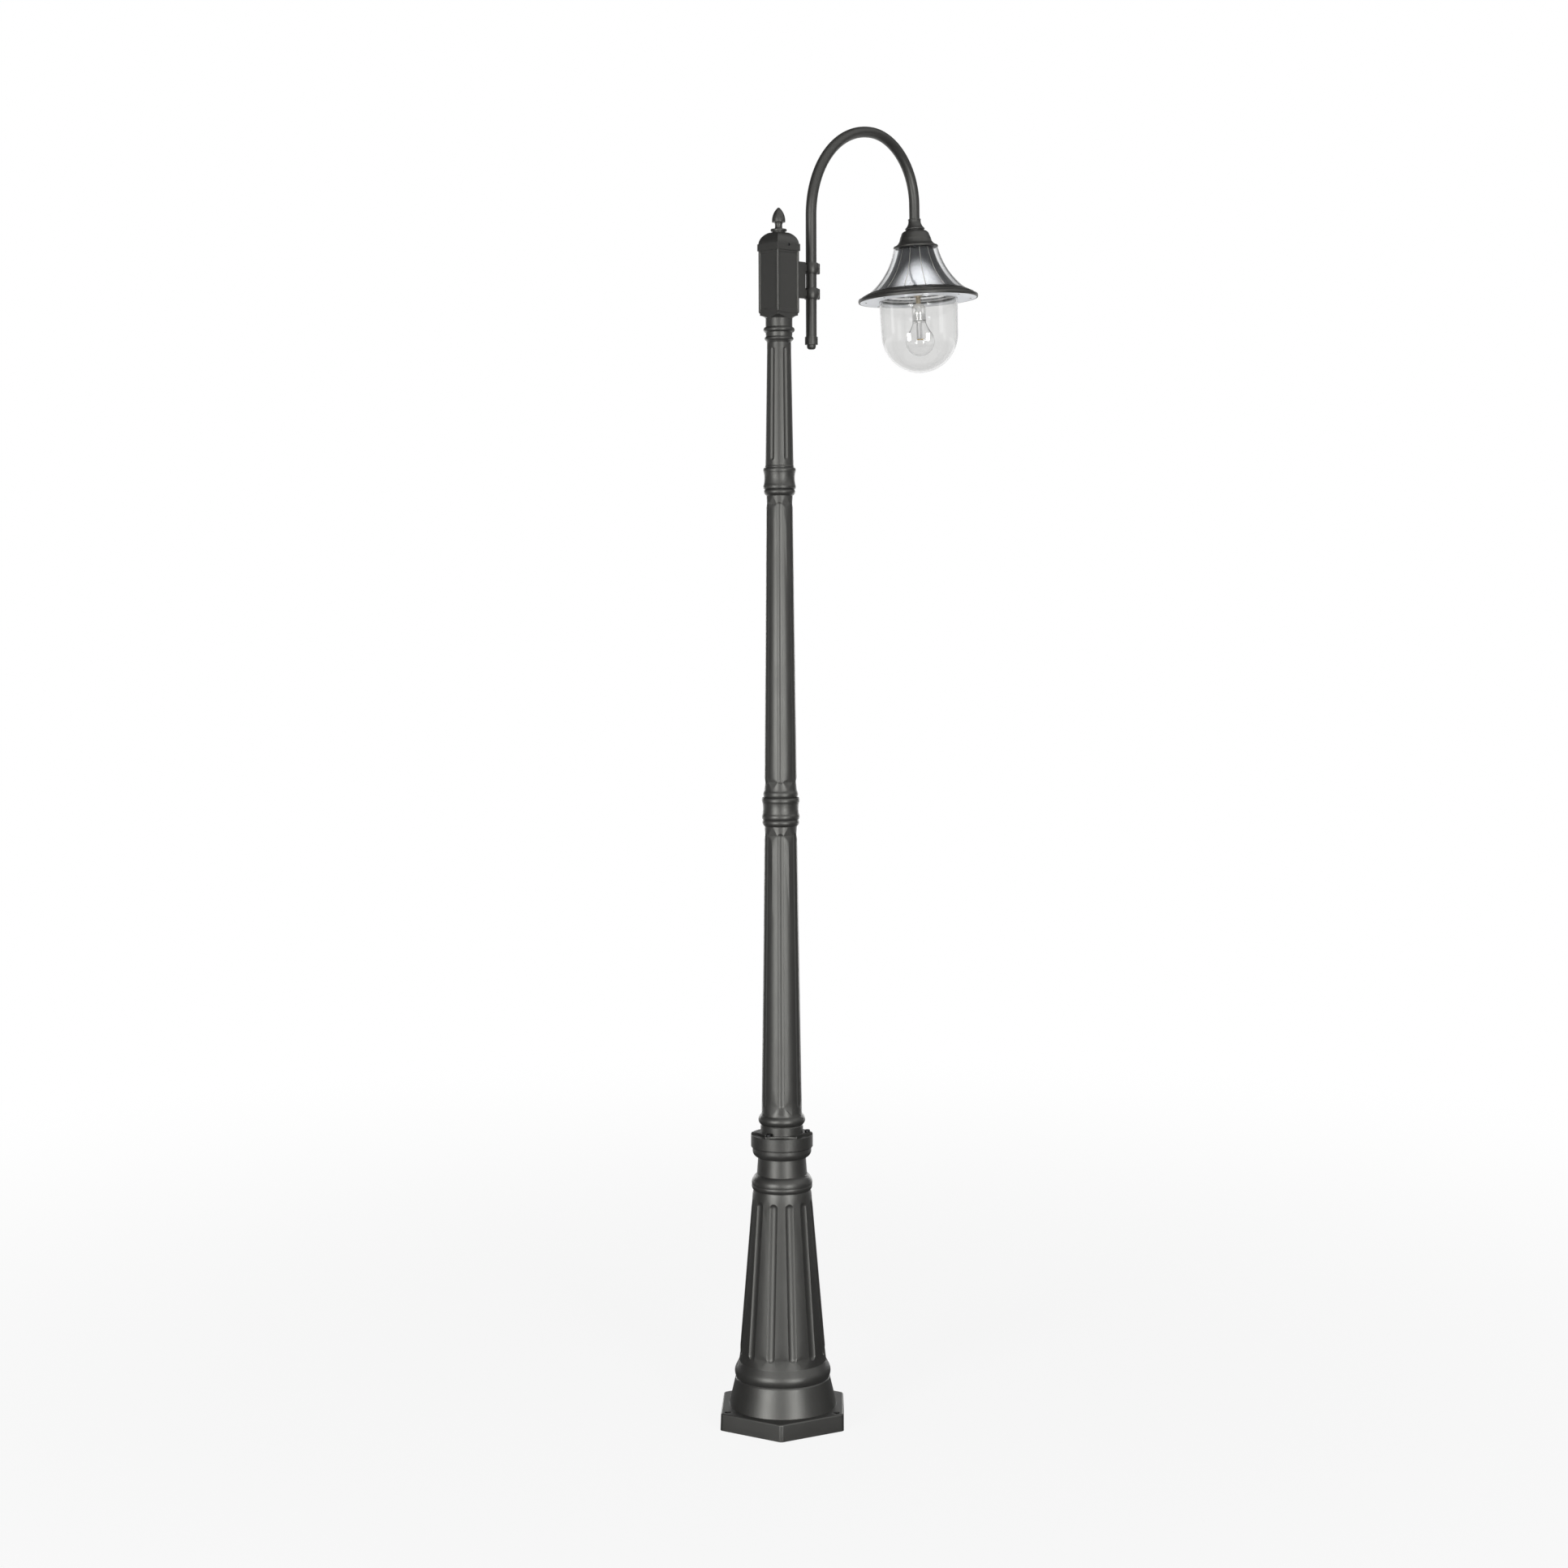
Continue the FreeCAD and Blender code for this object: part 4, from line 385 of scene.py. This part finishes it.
def clear(name, colour, waves, depth, strength):
    """A smooth see-through finish with slow waves in its surface."""
    material, shader, place = finish(
        name, Base_Color=(*colour, 1.0), Transmission_Weight=1.0, IOR=CLEAR_IOR, Roughness=0.0
    )
    place.noise(waves, 1.0).bump(depth * MM, strength).into(shader, "Normal")
    return material


cover = clear("clear_moulded_cover", colour=(0.95, 0.955, 0.96), waves=35.0, depth=0.3, strength=0.2)
dress(cover, "shade_cover")

FILM_DARK = (0.23, 0.235, 0.245)
FILM_LIGHT = (0.31, 0.316, 0.326)
FILM_CLOUDS = 16.0
FILM_CLOUD_SHARE = 0.5
FILM_LINES = 52.0
FILM_LINE_WIDTH = 0.06
FILM_LINE_SHARE = 0.12
FILM_SMOOTHEST = 0.16
FILM_CLOUD_ROUGHNESS = 0.06
FILM_LINE_ROUGHNESS = 0.05
film, film_shader, film_place = finish("solar_film", Metallic=0.95, IOR=1.8)
film_cloud = film_place.noise(FILM_CLOUDS)
film_lines = film_place.node(
    "ShaderNodeTexWave",
    {"bands_direction": "Z", "wave_profile": "SAW"},
    {"Vector": film_place, "Scale": FILM_LINES},
)
film_score = film_lines.tint((0.0, (1.0, 1.0, 1.0)), (FILM_LINE_WIDTH, (0.0, 0.0, 0.0)))
(film_cloud * FILM_CLOUD_SHARE - film_score * FILM_LINE_SHARE).tint(
    (0.10, FILM_DARK),
    (0.45, FILM_LIGHT),
).into(film_shader, "Base Color")
film_rough = film_cloud * FILM_CLOUD_ROUGHNESS + film_score * FILM_LINE_ROUGHNESS + FILM_SMOOTHEST
film_rough.into(film_shader, "Roughness")
dress(film, "solar_strips")

carrier = speckled(
    "dark_carrier_sheet", grains=900.0, dark=(0.022, 0.022, 0.023), light=(0.034, 0.034, 0.035),
    smoothest=0.35, spread=0.12, Metallic=0.2,
)
dress(carrier, "strip_carrier")

sealant = speckled(
    "pale_sealant", grains=1300.0, dark=(0.76, 0.74, 0.66), light=(0.86, 0.84, 0.77),
    smoothest=0.3, spread=0.2,
)


def cut_off(mesh, spot, way):
    """Cuts off what lies past a spot in this way, and closes the cut."""
    whole = mesh.verts[:] + mesh.edges[:] + mesh.faces[:]
    cut = bmesh.ops.bisect_plane(mesh, geom=whole, plane_co=spot, plane_no=way, clear_outer=True)
    rim = [item for item in cut["geom_cut"] if isinstance(item, bmesh.types.BMEdge)]
    bmesh.ops.holes_fill(mesh, edges=rim)


STRIP_COUNT = 12
STRIP_TURN = 22
STRIP_GAP_HALF_TURN = 0.75
SEAM_HALF_TURN = 0.55
SEAM_LIFT = (1.15, 0, 1.05)
SEAM_END = 3.4
mesh = bmesh.new()
for step in range(STRIP_COUNT):
    side = STRIP_TURN - STRIP_GAP_HALF_TURN + 360 / STRIP_COUNT * step
    seam_place = lamp_place @ about("Z", side)
    seam = bmesh.new()
    seam.from_mesh(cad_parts["strip_carrier"].data)
    bmesh.ops.remove_doubles(seam, verts=seam.verts, dist=MERGE_DISTANCE)
    bmesh.ops.transform(seam, matrix=seam_place.inverted(), verts=seam.verts)
    cut_off(seam, (0, 0, 0), about("Z", SEAM_HALF_TURN).to_3x3() @ Vector((0, 1, 0)))
    cut_off(seam, (0, 0, 0), about("Z", -SEAM_HALF_TURN).to_3x3() @ Vector((0, -1, 0)))
    far_side = [vertex for vertex in seam.verts if vertex.co.x < 0]
    bmesh.ops.delete(seam, geom=far_side, context="VERTS")
    levels = [vertex.co.z for vertex in seam.verts]
    cut_off(seam, (0, 0, max(levels) - SEAM_END * MM), (0, 0, 1))
    cut_off(seam, (0, 0, min(levels) + SEAM_END * MM), (0, 0, -1))
    lifted = seam_place @ Matrix.Translation(Vector(SEAM_LIFT) * MM)
    bmesh.ops.transform(seam, matrix=lifted, verts=seam.verts)
    bead = bpy.data.meshes.new("seam_bead")
    seam.to_mesh(bead)
    seam.free()
    mesh.from_mesh(bead)
finished_piece("seam_beads", mesh, sealant, None).data.shade_flat()


# Underside plate
# A pressed aluminium ring in pale silver lacquer closes the rim from below.
# Eight small bright screws hold it up into the rim.
PLATE_DARK = (0.80, 0.82, 0.86)
PLATE_LIGHT = (0.88, 0.90, 0.94)
PLATE_GRAINS = 800.0
PLATE_GRAIN_SHARE = 0.4
PLATE_GRAIN_DEPTH = 0.05 * MM
PLATE_CLOUDS = 12.0
PLATE_CLOUD_SHARE = 0.6
PLATE_SMOOTHEST = 0.28
PLATE_ROUGHNESS_SPREAD = 0.15
plate, plate_shader, plate_place = finish("pale_silver_plate", Metallic=0.5, IOR=1.5)
plate_grain = plate_place.noise(PLATE_GRAINS)
plate_cloud = plate_place.noise(PLATE_CLOUDS, 3.0)
(plate_grain * PLATE_GRAIN_SHARE + plate_cloud * PLATE_CLOUD_SHARE).tint(
    (0.3, PLATE_DARK),
    (0.7, PLATE_LIGHT),
).into(plate_shader, "Base Color")
(plate_cloud * PLATE_ROUGHNESS_SPREAD + PLATE_SMOOTHEST).into(plate_shader, "Roughness")
plate_grain.bump(PLATE_GRAIN_DEPTH, 0.3).into(plate_shader, "Normal")
dress(plate, "underside_plate")

bright_steel = speckled(
    "bright_steel", grains=2200.0, dark=(0.58, 0.57, 0.55), light=(0.74, 0.73, 0.71),
    smoothest=0.2, spread=0.15, Metallic=1.0,
)

PLATE_SCREW_COUNT = 8
PLATE_SCREW_CIRCLE = 208
PLATE_FACE = -159.4
PLATE_HEAD = [(2.3, 0), (2.25, 0.35), (1.95, 0.75), (1.6, 1.0)]
mesh = bmesh.new()
for step in range(PLATE_SCREW_COUNT):
    turn = about("Z", 360 / PLATE_SCREW_COUNT * step)
    out = Matrix.Translation((PLATE_SCREW_CIRCLE / 2 * MM, 0, PLATE_FACE * MM))
    face_down = about("X", 180)
    socket_screw(mesh, lamp_place @ turn @ out @ face_down, PLATE_HEAD)
finished_piece("plate_button_screws", mesh, bright_steel, "bright_steel", "plate_screws")


# Glass dome and gasket
# A blown clear glass bell jar hangs from the plate's inner edge on a grey silicone ring.
# Its wall is slightly grey and not quite even, as blown glass is.
glass = clear("clear_blown_glass", colour=(0.86, 0.86, 0.856), waves=14.0, depth=0.6, strength=0.25)
dress(glass, "glass_dome")

silicone = speckled(
    "grey_silicone", grains=1500.0, dark=(0.60, 0.60, 0.60), light=(0.68, 0.68, 0.68),
    smoothest=0.6, spread=0.15, relief=(0.08, 0.4),
)
dress(silicone, "glass_gasket")


# Reflector, tray and electrics
# A bright spun reflector closes the bell, and a tray above it carries the battery and charge board.
# A threaded brass tube with two nuts strings them up to the coupler.
mirror = speckled(
    "bright_reflector", grains=60.0, dark=(0.80, 0.80, 0.80), light=(0.90, 0.90, 0.90),
    smoothest=0.04, spread=0.05, relief=(1.2, 0.3), Metallic=1.0,
)
dress(mirror, "reflector", "gear_tray")

wrap = speckled(
    "battery_wrap", grains=400.0, dark=(0.03, 0.09, 0.16), light=(0.04, 0.12, 0.21), Roughness=0.35
)
dress(wrap, "battery_pack")

laminate = speckled(
    "board_laminate", grains=1200.0, dark=(0.012, 0.07, 0.035), light=(0.02, 0.10, 0.05), Roughness=0.4
)
dress(laminate, "charge_board")

brass = speckled(
    "brass_tube", grains=1800.0, dark=(0.50, 0.42, 0.30), light=(0.66, 0.57, 0.42),
    smoothest=0.22, spread=0.15, Metallic=1.0,
)
dress(brass, "tie_tube", "tie_nuts")


# Lampholder
# A glazed white ceramic dome on the brass tube, with a bare screw shell of rolled bright metal under it.
# The rolled thread shows on the outside of the shell.
ceramic = speckled(
    "white_ceramic", grains=140.0, dark=(0.78, 0.77, 0.74), light=(0.86, 0.85, 0.82),
    smoothest=0.18, spread=0.1, Coat_Weight=0.5, Coat_Roughness=0.05,
)
dress(ceramic, "lampholder_dome")

shell_metal = speckled(
    "bright_rolled_shell", grains=500.0, dark=(0.70, 0.70, 0.69), light=(0.84, 0.84, 0.83),
    smoothest=0.12, spread=0.1, Metallic=1.0,
)

SHELL_TOP = -175.9
SHELL_FOOT = -202.9
SHELL_RADIUS = 14.1
SHELL_INNER = 13.4
FOOT_LIP = 0.25
FOOT_LIP_START = 0.5
FOOT_LIP_END = 1.3
THREAD_PITCH = 3.62
THREAD_DEPTH = 0.45
THREAD_SEAT = 13.5
THREAD_TOP = -182.5
THREAD_STEPS = 10
THREAD_WALL_GAP = 0.1
SPIN_STEPS = 64


def turned(mesh, profile, place, climb=0.0):
    """Turns a profile of radius and level round the lamp's axis. With a climb it rises as a thread does."""
    made = [mesh.verts.new((radius * MM, 0, level * MM)) for radius, level in profile]
    edges = [mesh.edges.new(pair) for pair in zip(made, made[1:])]
    bmesh.ops.spin(
        mesh, geom=made + edges, cent=(0, 0, 0), axis=(0, 0, 1), dvec=(0, 0, climb * MM / SPIN_STEPS),
        angle=math.tau, steps=SPIN_STEPS, use_merge=climb == 0.0,
    )
    bmesh.ops.transform(mesh, matrix=place, verts=mesh.verts)


thread_turns = int((THREAD_TOP - SHELL_FOOT) / THREAD_PITCH) - 1
thread_end = SHELL_FOOT + THREAD_PITCH * thread_turns
thread_root = SHELL_RADIUS - THREAD_DEPTH
thread = [
    (SHELL_RADIUS - THREAD_DEPTH * (0.5 - 0.5 * math.cos(math.tau * step / THREAD_STEPS)),
     SHELL_FOOT + THREAD_PITCH * step / THREAD_STEPS)
    for step in range(thread_turns * THREAD_STEPS + 1)
]
mesh = bmesh.new()
turned(mesh, thread, Matrix.Identity(4), THREAD_PITCH)
bmesh.ops.remove_doubles(mesh, verts=mesh.verts, dist=MERGE_DISTANCE)
thread_rims = [edge for edge in mesh.edges if edge.is_boundary]
turned_in = bmesh.ops.extrude_edge_only(mesh, edges=thread_rims)["geom"]
for item in turned_in:
    if isinstance(item, bmesh.types.BMVert):
        item.co.xy = item.co.xy.normalized() * THREAD_SEAT * MM
bmesh.ops.bridge_loops(mesh, edges=[edge for edge in mesh.edges if edge.is_boundary])
bmesh.ops.transform(mesh, matrix=lamp_place, verts=mesh.verts)

wall = bmesh.new()
turned(wall, [
    (SHELL_INNER, SHELL_FOOT),
    (SHELL_RADIUS, SHELL_FOOT),
    (SHELL_RADIUS + FOOT_LIP, SHELL_FOOT + FOOT_LIP_START),
    (SHELL_RADIUS + FOOT_LIP, SHELL_FOOT + FOOT_LIP_END),
    (thread_root - THREAD_WALL_GAP, SHELL_FOOT + THREAD_PITCH),
    (thread_root - THREAD_WALL_GAP, thread_end),
    (SHELL_RADIUS, thread_end + THREAD_PITCH),
    (SHELL_RADIUS, SHELL_TOP),
    (SHELL_INNER, SHELL_TOP),
    (SHELL_INNER, SHELL_FOOT),
], lamp_place)
shell_wall = bpy.data.meshes.new("shell_wall")
wall.to_mesh(shell_wall)
wall.free()
mesh.from_mesh(shell_wall)
finished_piece("lampholder_threaded_shell", mesh, shell_metal, "bright_shell", "lampholder_shell")


# Bulb
# A clear pear bulb: thin blown glass on a screw cap, with a three-bar metal stem inside.
# Six yellow light chips sit on the disc at the stem's end.
bulb_glass = clear("clear_bulb_glass", colour=(0.985, 0.985, 0.985), waves=40.0, depth=0.2, strength=0.2)
dress(bulb_glass, "bulb_glass")
dress(shell_metal, "bulb_cap")

stem_metal = speckled(
    "stem_metal", grains=900.0, dark=(0.62, 0.62, 0.62), light=(0.78, 0.78, 0.78),
    smoothest=0.16, spread=0.1, Metallic=1.0,
)
dress(stem_metal, "bulb_stem")

chip = speckled(
    "light_chips", grains=3000.0, dark=(0.80, 0.50, 0.06), light=(0.95, 0.66, 0.12),
    detail=1.0, Roughness=0.45,
)
dress(chip, "bulb_led_chips")


# Floor
# A plain pale studio floor that runs out into white, so that only the post's soft shadow shows on it.
# In reflections it is dark up to some way behind the post, and white from there on.
FLOOR_RADIUS = 30.0
FLOOR_SIDES = 96
FLOOR_GREY = 0.88
FLOOR_FADE_START = 0.6
FLOOR_FADE_END = 4.0
FLOOR_BACKWARD = (0.672, 0.741, 0.0)
FLOOR_BACK_START = 1.4
FLOOR_BACK_END = 3.0
MIRRORED_DARK = 0.08
mesh = bmesh.new()
bmesh.ops.create_circle(mesh, cap_ends=True, segments=FLOOR_SIDES, radius=FLOOR_RADIUS)
floor_mesh = bpy.data.meshes.new("studio_floor")
mesh.to_mesh(floor_mesh)
mesh.free()
floor = bpy.data.objects.new("studio_floor", floor_mesh)
bpy.context.scene.collection.objects.link(floor)
floor_finish, floor_shader, floor_place = finish(
    "pale_floor", Base_Color=(FLOOR_GREY, FLOOR_GREY, FLOOR_GREY, 1.0), Roughness=0.9
)
floor_distance = floor_place.node(
    "ShaderNodeVectorMath", {"operation": "LENGTH"}, {0: floor_place}, "Value"
)
floor_fade = floor_distance.ramped(FLOOR_FADE_START, FLOOR_FADE_END, FLOOR_GREY, 1.0)
floor_lit = floor_place.along(FLOOR_BACKWARD).ramped(FLOOR_BACK_START, FLOOR_BACK_END, MIRRORED_DARK, 1.0)
floor_through = floor_place.ray("Transmission")
floor_seen = floor_place.ray("Camera") + floor_through
floor_mirrored = floor_place.ray("Glossy") * (1 - floor_through)
floor_white = floor_place.node("ShaderNodeEmission", {}, {"Color": 1 - floor_mirrored * (1 - floor_lit)})
floor_mix = floor_place.node(
    "ShaderNodeMixShader",
    {},
    {
        "Fac": floor_fade * floor_seen + floor_mirrored,
        1: Wire(floor_shader.outputs["BSDF"]),
        2: floor_white,
    },
)
floor_mix.into(floor_finish.node_tree.nodes["Material Output"], "Surface")
floor_mesh.materials.append(floor_finish)


# Camera
# It stands level with the upper shaft, almost five metres in front of the post.
# It looks slightly down and is rolled by a fraction of a degree.
CAMERA_BEARING = -42.2
CAMERA_PITCH = 4.31
CAMERA_ROLL = 0.2
CAMERA_BACK = 4.820
CAMERA_ASIDE = 0.0064
CAMERA_LEVEL = 1.5994
CAMERA_SENSOR = 36.0
CAMERA_LENS = 58.29
camera = bpy.data.objects.new("camera", bpy.data.cameras.new("camera"))
bpy.context.scene.collection.objects.link(camera)
camera.data.sensor_width = CAMERA_SENSOR
camera.data.lens = CAMERA_LENS
bearing = about("Z", CAMERA_BEARING)
camera.matrix_world = (
    bearing
    @ Matrix.Translation((CAMERA_ASIDE, -CAMERA_BACK, CAMERA_LEVEL))
    @ about("X", 90 - CAMERA_PITCH)
    @ about("Z", -CAMERA_ROLL)
)
bpy.context.scene.camera = camera


# Studio light
# Two tall softboxes stand left and right in front, one hangs above, and two small ones flank the lamp.
# Two more behind light the post alone, and the world round them is a white room.
def softbox(name, side, distance, level, size, power, aim, mirrored=True, seen_through=True):
    """A rectangular soft light at a bearing from the camera's own, turned to the point it is aimed at."""
    light = bpy.data.lights.new(name, "AREA")
    light.shape = "RECTANGLE"
    light.size, light.size_y = size
    light.energy = power
    lamp = bpy.data.objects.new(name, light)
    bpy.context.scene.collection.objects.link(lamp)
    lamp.location = bearing @ about("Z", side) @ Vector((0, -distance, level))
    lamp.rotation_euler = (Vector(aim) - lamp.location).to_track_quat("-Z", "Y").to_euler()
    lamp.visible_camera = False
    lamp.visible_glossy = mirrored
    lamp.visible_transmission = seen_through
    return lamp


POST_MIDDLE = (0.0, 0.0, 1.0)
tall_box = {"distance": 4.5, "level": 1.0, "size": (1.0, 1.9), "aim": POST_MIDDLE}
softbox("left_softbox", side=-36, power=90, **tall_box)
softbox("right_softbox", side=26, power=86, **tall_box)

LAMP_MIDDLE = (0.39, 0.02, 2.2)
softbox(
    "top_softbox", side=0, distance=-0.3, level=4.6, size=(1.4, 1.4), power=25, aim=LAMP_MIDDLE,
    mirrored=False, seen_through=False,
)
small_box = {"distance": 3.0, "level": 2.45, "size": (0.65, 0.65), "power": 1.65, "aim": LAMP_MIDDLE}
softbox("left_window", side=-95, **small_box)
softbox("right_window", side=72, **small_box)

post_pieces = bpy.data.collections.new("post_pieces")
for name in ("fluted_base", "fluted_lower_shaft", "fluted_upper_shaft", "fluted_neck"):
    post_pieces.objects.link(bpy.data.objects[name])
for name in ("mid_sleeve", "upper_sleeve", "head_casing", "casing_cap", "finial"):
    post_pieces.objects.link(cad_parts[name])
for name, side in (("back_left_softbox", -155), ("back_right_softbox", 155)):
    lamp = softbox(name, side=side, power=24, seen_through=False, **tall_box)
    lamp.light_linking.receiver_collection = post_pieces

room = bpy.data.worlds.new("white_room")
bpy.context.scene.world = room
room.use_nodes = True
room_tree = room.node_tree
room_light = room_tree.nodes["Background"]
room_light.inputs["Color"].default_value = (1.0, 1.0, 1.0, 1.0)
room_way = Wire(room_tree.nodes.new("ShaderNodeTexCoord").outputs["Generated"])


def glow(side, way, edge, core, strength):
    """A soft light far off, in a way that is turned to a bearing from the camera's own."""
    turned_way = bearing @ about("Z", side) @ Vector(way)
    return room_way.along(tuple(turned_way)).ramped(edge, core, 0.0, strength)


LOW_WAY = (0, -0.99, 0.14)
LOW_EDGE = 0.961
LOW_CORE = 0.9976
LOW_GLOWS = ((-36, 3.5), (-19, 2.2), (26, 4.0), (-155, 1.5), (155, 1.5))
HIGH_GLOWS = ((0, (0, -0.55, 0.83)), (84, (0, -0.77, 0.64)))
HIGH_EDGE = 0.75
HIGH_CORE = 0.97
HIGH_STRENGTH = 0.8
glows = [glow(side, LOW_WAY, LOW_EDGE, LOW_CORE, strength) for side, strength in LOW_GLOWS]
glows += [glow(side, way, HIGH_EDGE, HIGH_CORE, HIGH_STRENGTH) for side, way in HIGH_GLOWS]

# Glass shows white walls, a grey ceiling and a bright patch straight above.
# Glossy pieces mirror a white wall behind the post in a dark room, and the rougher of them the glows too.
CEILING_START = 0.17
CEILING_END = 0.32
CEILING_GREY = 0.2
ZENITH_START = 0.74
ZENITH_STRENGTH = 3.8
BACK_WALL_EDGE = 0.86
BACK_WALL_CORE = 0.98
SOFT_STRENGTH = 0.12
rise = room_way.along((0, 0, 1))
ceiling = rise.ramped(CEILING_START, CEILING_END, 1.0, CEILING_GREY)
zenith = rise.ramped(ZENITH_START, 1.0, 0.0, ZENITH_STRENGTH)
backward = room_way.along(tuple(bearing @ Vector((0, 1, 0))))
back_wall = backward.ramped(BACK_WALL_EDGE, BACK_WALL_CORE, MIRRORED_DARK, 1.0)

seen = room_way.ray("Camera")
through = room_way.ray("Transmission")
mirrored = room_way.ray("Glossy") * (1 - through)
rough = mirrored * (1 - room_way.ray("Singular"))
soft = (1 - seen) * (1 - through) * (1 - mirrored)
(seen
 + through * (ceiling + zenith)
 + mirrored * back_wall
 + rough * sum(glows[1:], glows[0])
 + soft * SOFT_STRENGTH).into(room_light, "Strength")

bpy.context.scene.view_settings.view_transform = "Standard"
